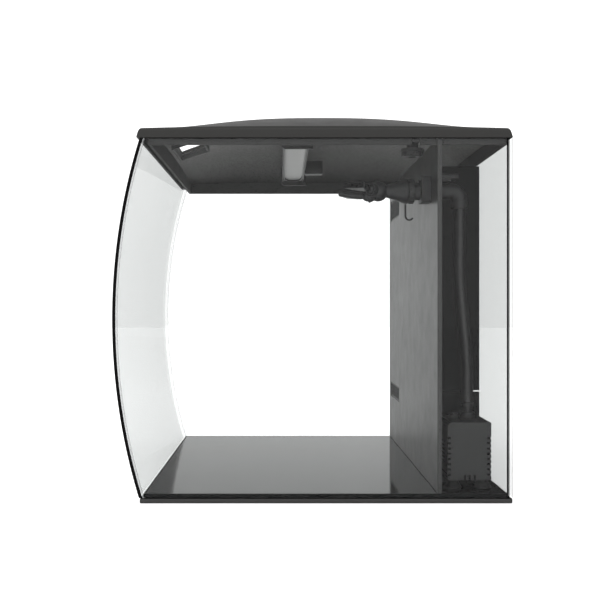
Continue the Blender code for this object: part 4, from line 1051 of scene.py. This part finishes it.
def build_manifold():
    dark = moulded("manifold_plastic", (0.012, 0.012, 0.0125), 0.38, grain=1500.0, mottle=0.07)
    axis_x, axis_z = middle("bulkhead_nut").x, middle("bulkhead_nut").z
    bulb = Vector((axis_x, BULB_Y, axis_z))
    profile = [(0.0052, BULB_Y + 0.0066), (0.0060, 0.0676), (0.0107, 0.0812), (0.0110, 0.0820),
               (0.0111, 0.0836),
               (0.0109, 0.0840), (0.0056, 0.0840), (0.0056, 0.0890), (0.0034, 0.0890),
               (0.0034, BULB_Y + 0.0066)]
    bm = bmesh.new()
    add_turned(bm, profile, (axis_x, 0, axis_z), (0, 1, 0), 80)
    made = piece("manifold_body", bm, dark, "manifold")
    ball = bmesh.new()
    add_turned(ball, ball_profile(BULB), bulb, (0, 1, 0), 56)
    boolean(made, ball, "UNION")
    for aim in (UPPER_AIM, LOWER_CUP):
        cup = bmesh.new()
        add_turned(cup, rod(CUP, 0.003, REACH + 0.0010, 0.0005), bulb, aim, 56)
        boolean(made, cup, "UNION")
    for aim in (UPPER_AIM, LOWER_CUP):
        socket = bmesh.new()
        add_turned(socket, ball_profile(BALL + 0.0003), bulb + aim * REACH, aim, 48)
        boolean(made, socket)
        way = bmesh.new()
        add_turned(way, rod(0.0024, 0.0, REACH), bulb, aim, 32)
        boolean(made, way)
    way = bmesh.new()
    add_turned(way, rod(0.0034, BULB_Y, BULB_Y + 0.0080), (axis_x, 0, axis_z), (0, 1, 0), 48)
    boolean(made, way)

    hook_y, hook_low, hook_bend = 0.0824, 0.2412, 0.0034
    curl = arc((hook_y + hook_bend, hook_low), hook_bend, 180, 330, 24)
    path = [(axis_x, hook_y, axis_z - 0.0114), (axis_x, hook_y, 0.2460)] + [(axis_x, y, z) for y, z in curl]
    bm = bmesh.new()
    add_swept(bm, path, lambda share: 0.0008, sides=24)
    piece("curled_lever", bm, dark, "swivel_lever", smooth=60)


def stadium(half_width, half_height, steps=14):
    straight = half_width - half_height
    return arc((straight, 0), half_height, -90, 90, steps) + arc((-straight, 0), half_height, 90, 270, steps)


def build_nozzles():
    dark = moulded("nozzle_plastic", (0.012, 0.012, 0.0125), 0.34, grain=1500.0, mottle=0.06)
    bulb = Vector((middle("bulkhead_nut").x, BULB_Y, middle("bulkhead_nut").z))
    for node, cup, aim, roll in (("upper_nozzle", UPPER_AIM, UPPER_AIM, -4.0),
                                 ("lower_nozzle", LOWER_CUP, LOWER_AIM, 0.0)):
        centre = bulb + cup * REACH
        across = Matrix.Rotation(math.radians(roll), 3, aim) @ aim.cross(Vector((0, 0, 1))).normalized()
        up = across.cross(aim)
        outside = smooth_rows([(0.0010, 0.0026, 0.0025), (0.0060, 0.0036, 0.0030), (0.0105, 0.0062, 0.0031),
                               (0.0165, 0.0100, 0.0029), (0.0222, 0.0124, 0.0027)], 6)
        outside += [(0.0225, 0.01225, 0.00255)]
        inside = [(0.0225, 0.0117, 0.0020), (0.0222, 0.0115, 0.0018)]
        inside += smooth_rows([(0.0205, 0.0108, 0.0018), (0.0150, 0.0080, 0.0017),
                               (0.0095, 0.0042, 0.0014)], 4)
        bm = bmesh.new()
        loops = [[bm.verts.new(centre + aim * along + across * a + up * b) for a, b in stadium(wide, high)]
                 for along, wide, high in outside + inside]
        bm.faces.new(loops[0])
        bm.faces.new(loops[-1][::-1])
        join_loops(bm, loops)
        made = piece(f"{node}_body", bm, dark, node, smooth=40)
        ball = bmesh.new()
        add_turned(ball, ball_profile(BALL), centre, aim, 48)
        boolean(made, ball, "UNION")
        for step in (-1, 1):
            vane = bmesh.new()
            place = Matrix.Translation(centre + aim * 0.0180 + across * (step * 0.0045))
            axes = Matrix((aim, across, up)).transposed().to_4x4()
            add_box(vane, (-0.0032, 0.0032), (-0.00035, 0.00035), (-0.0021, 0.0021), turn=place @ axes)
            boolean(made, vane, "UNION")


def smooth_rows(rows, steps):
    """More rows along a smooth curve through the given ones."""
    result = []
    for i in range(len(rows) - 1):
        before, start, end, after = rows[max(i - 1, 0)], rows[i], rows[i + 1], rows[min(i + 2, len(rows) - 1)]
        for k in range(steps):
            t = k / steps
            result.append(tuple(0.5 * (2 * b + (c - a) * t + (2 * a - 5 * b + 4 * c - d) * t * t +
                                       (3 * b - a - 3 * c + d) * t ** 3)
                                for a, b, c, d in zip(before, start, end, after)))
    return result + [rows[-1]]


# ---------------------------------------------------------------- the whole
build_studio()
build_panes()
finer("base_trim", moulded("trim_plastic", (0.034, 0.034, 0.033), 0.5, grain=1000.0), 0.0004)
build_lid()
build_lamp()
build_wall()
build_media()
build_pump()
build_plumbing()
build_manifold()
build_nozzles()
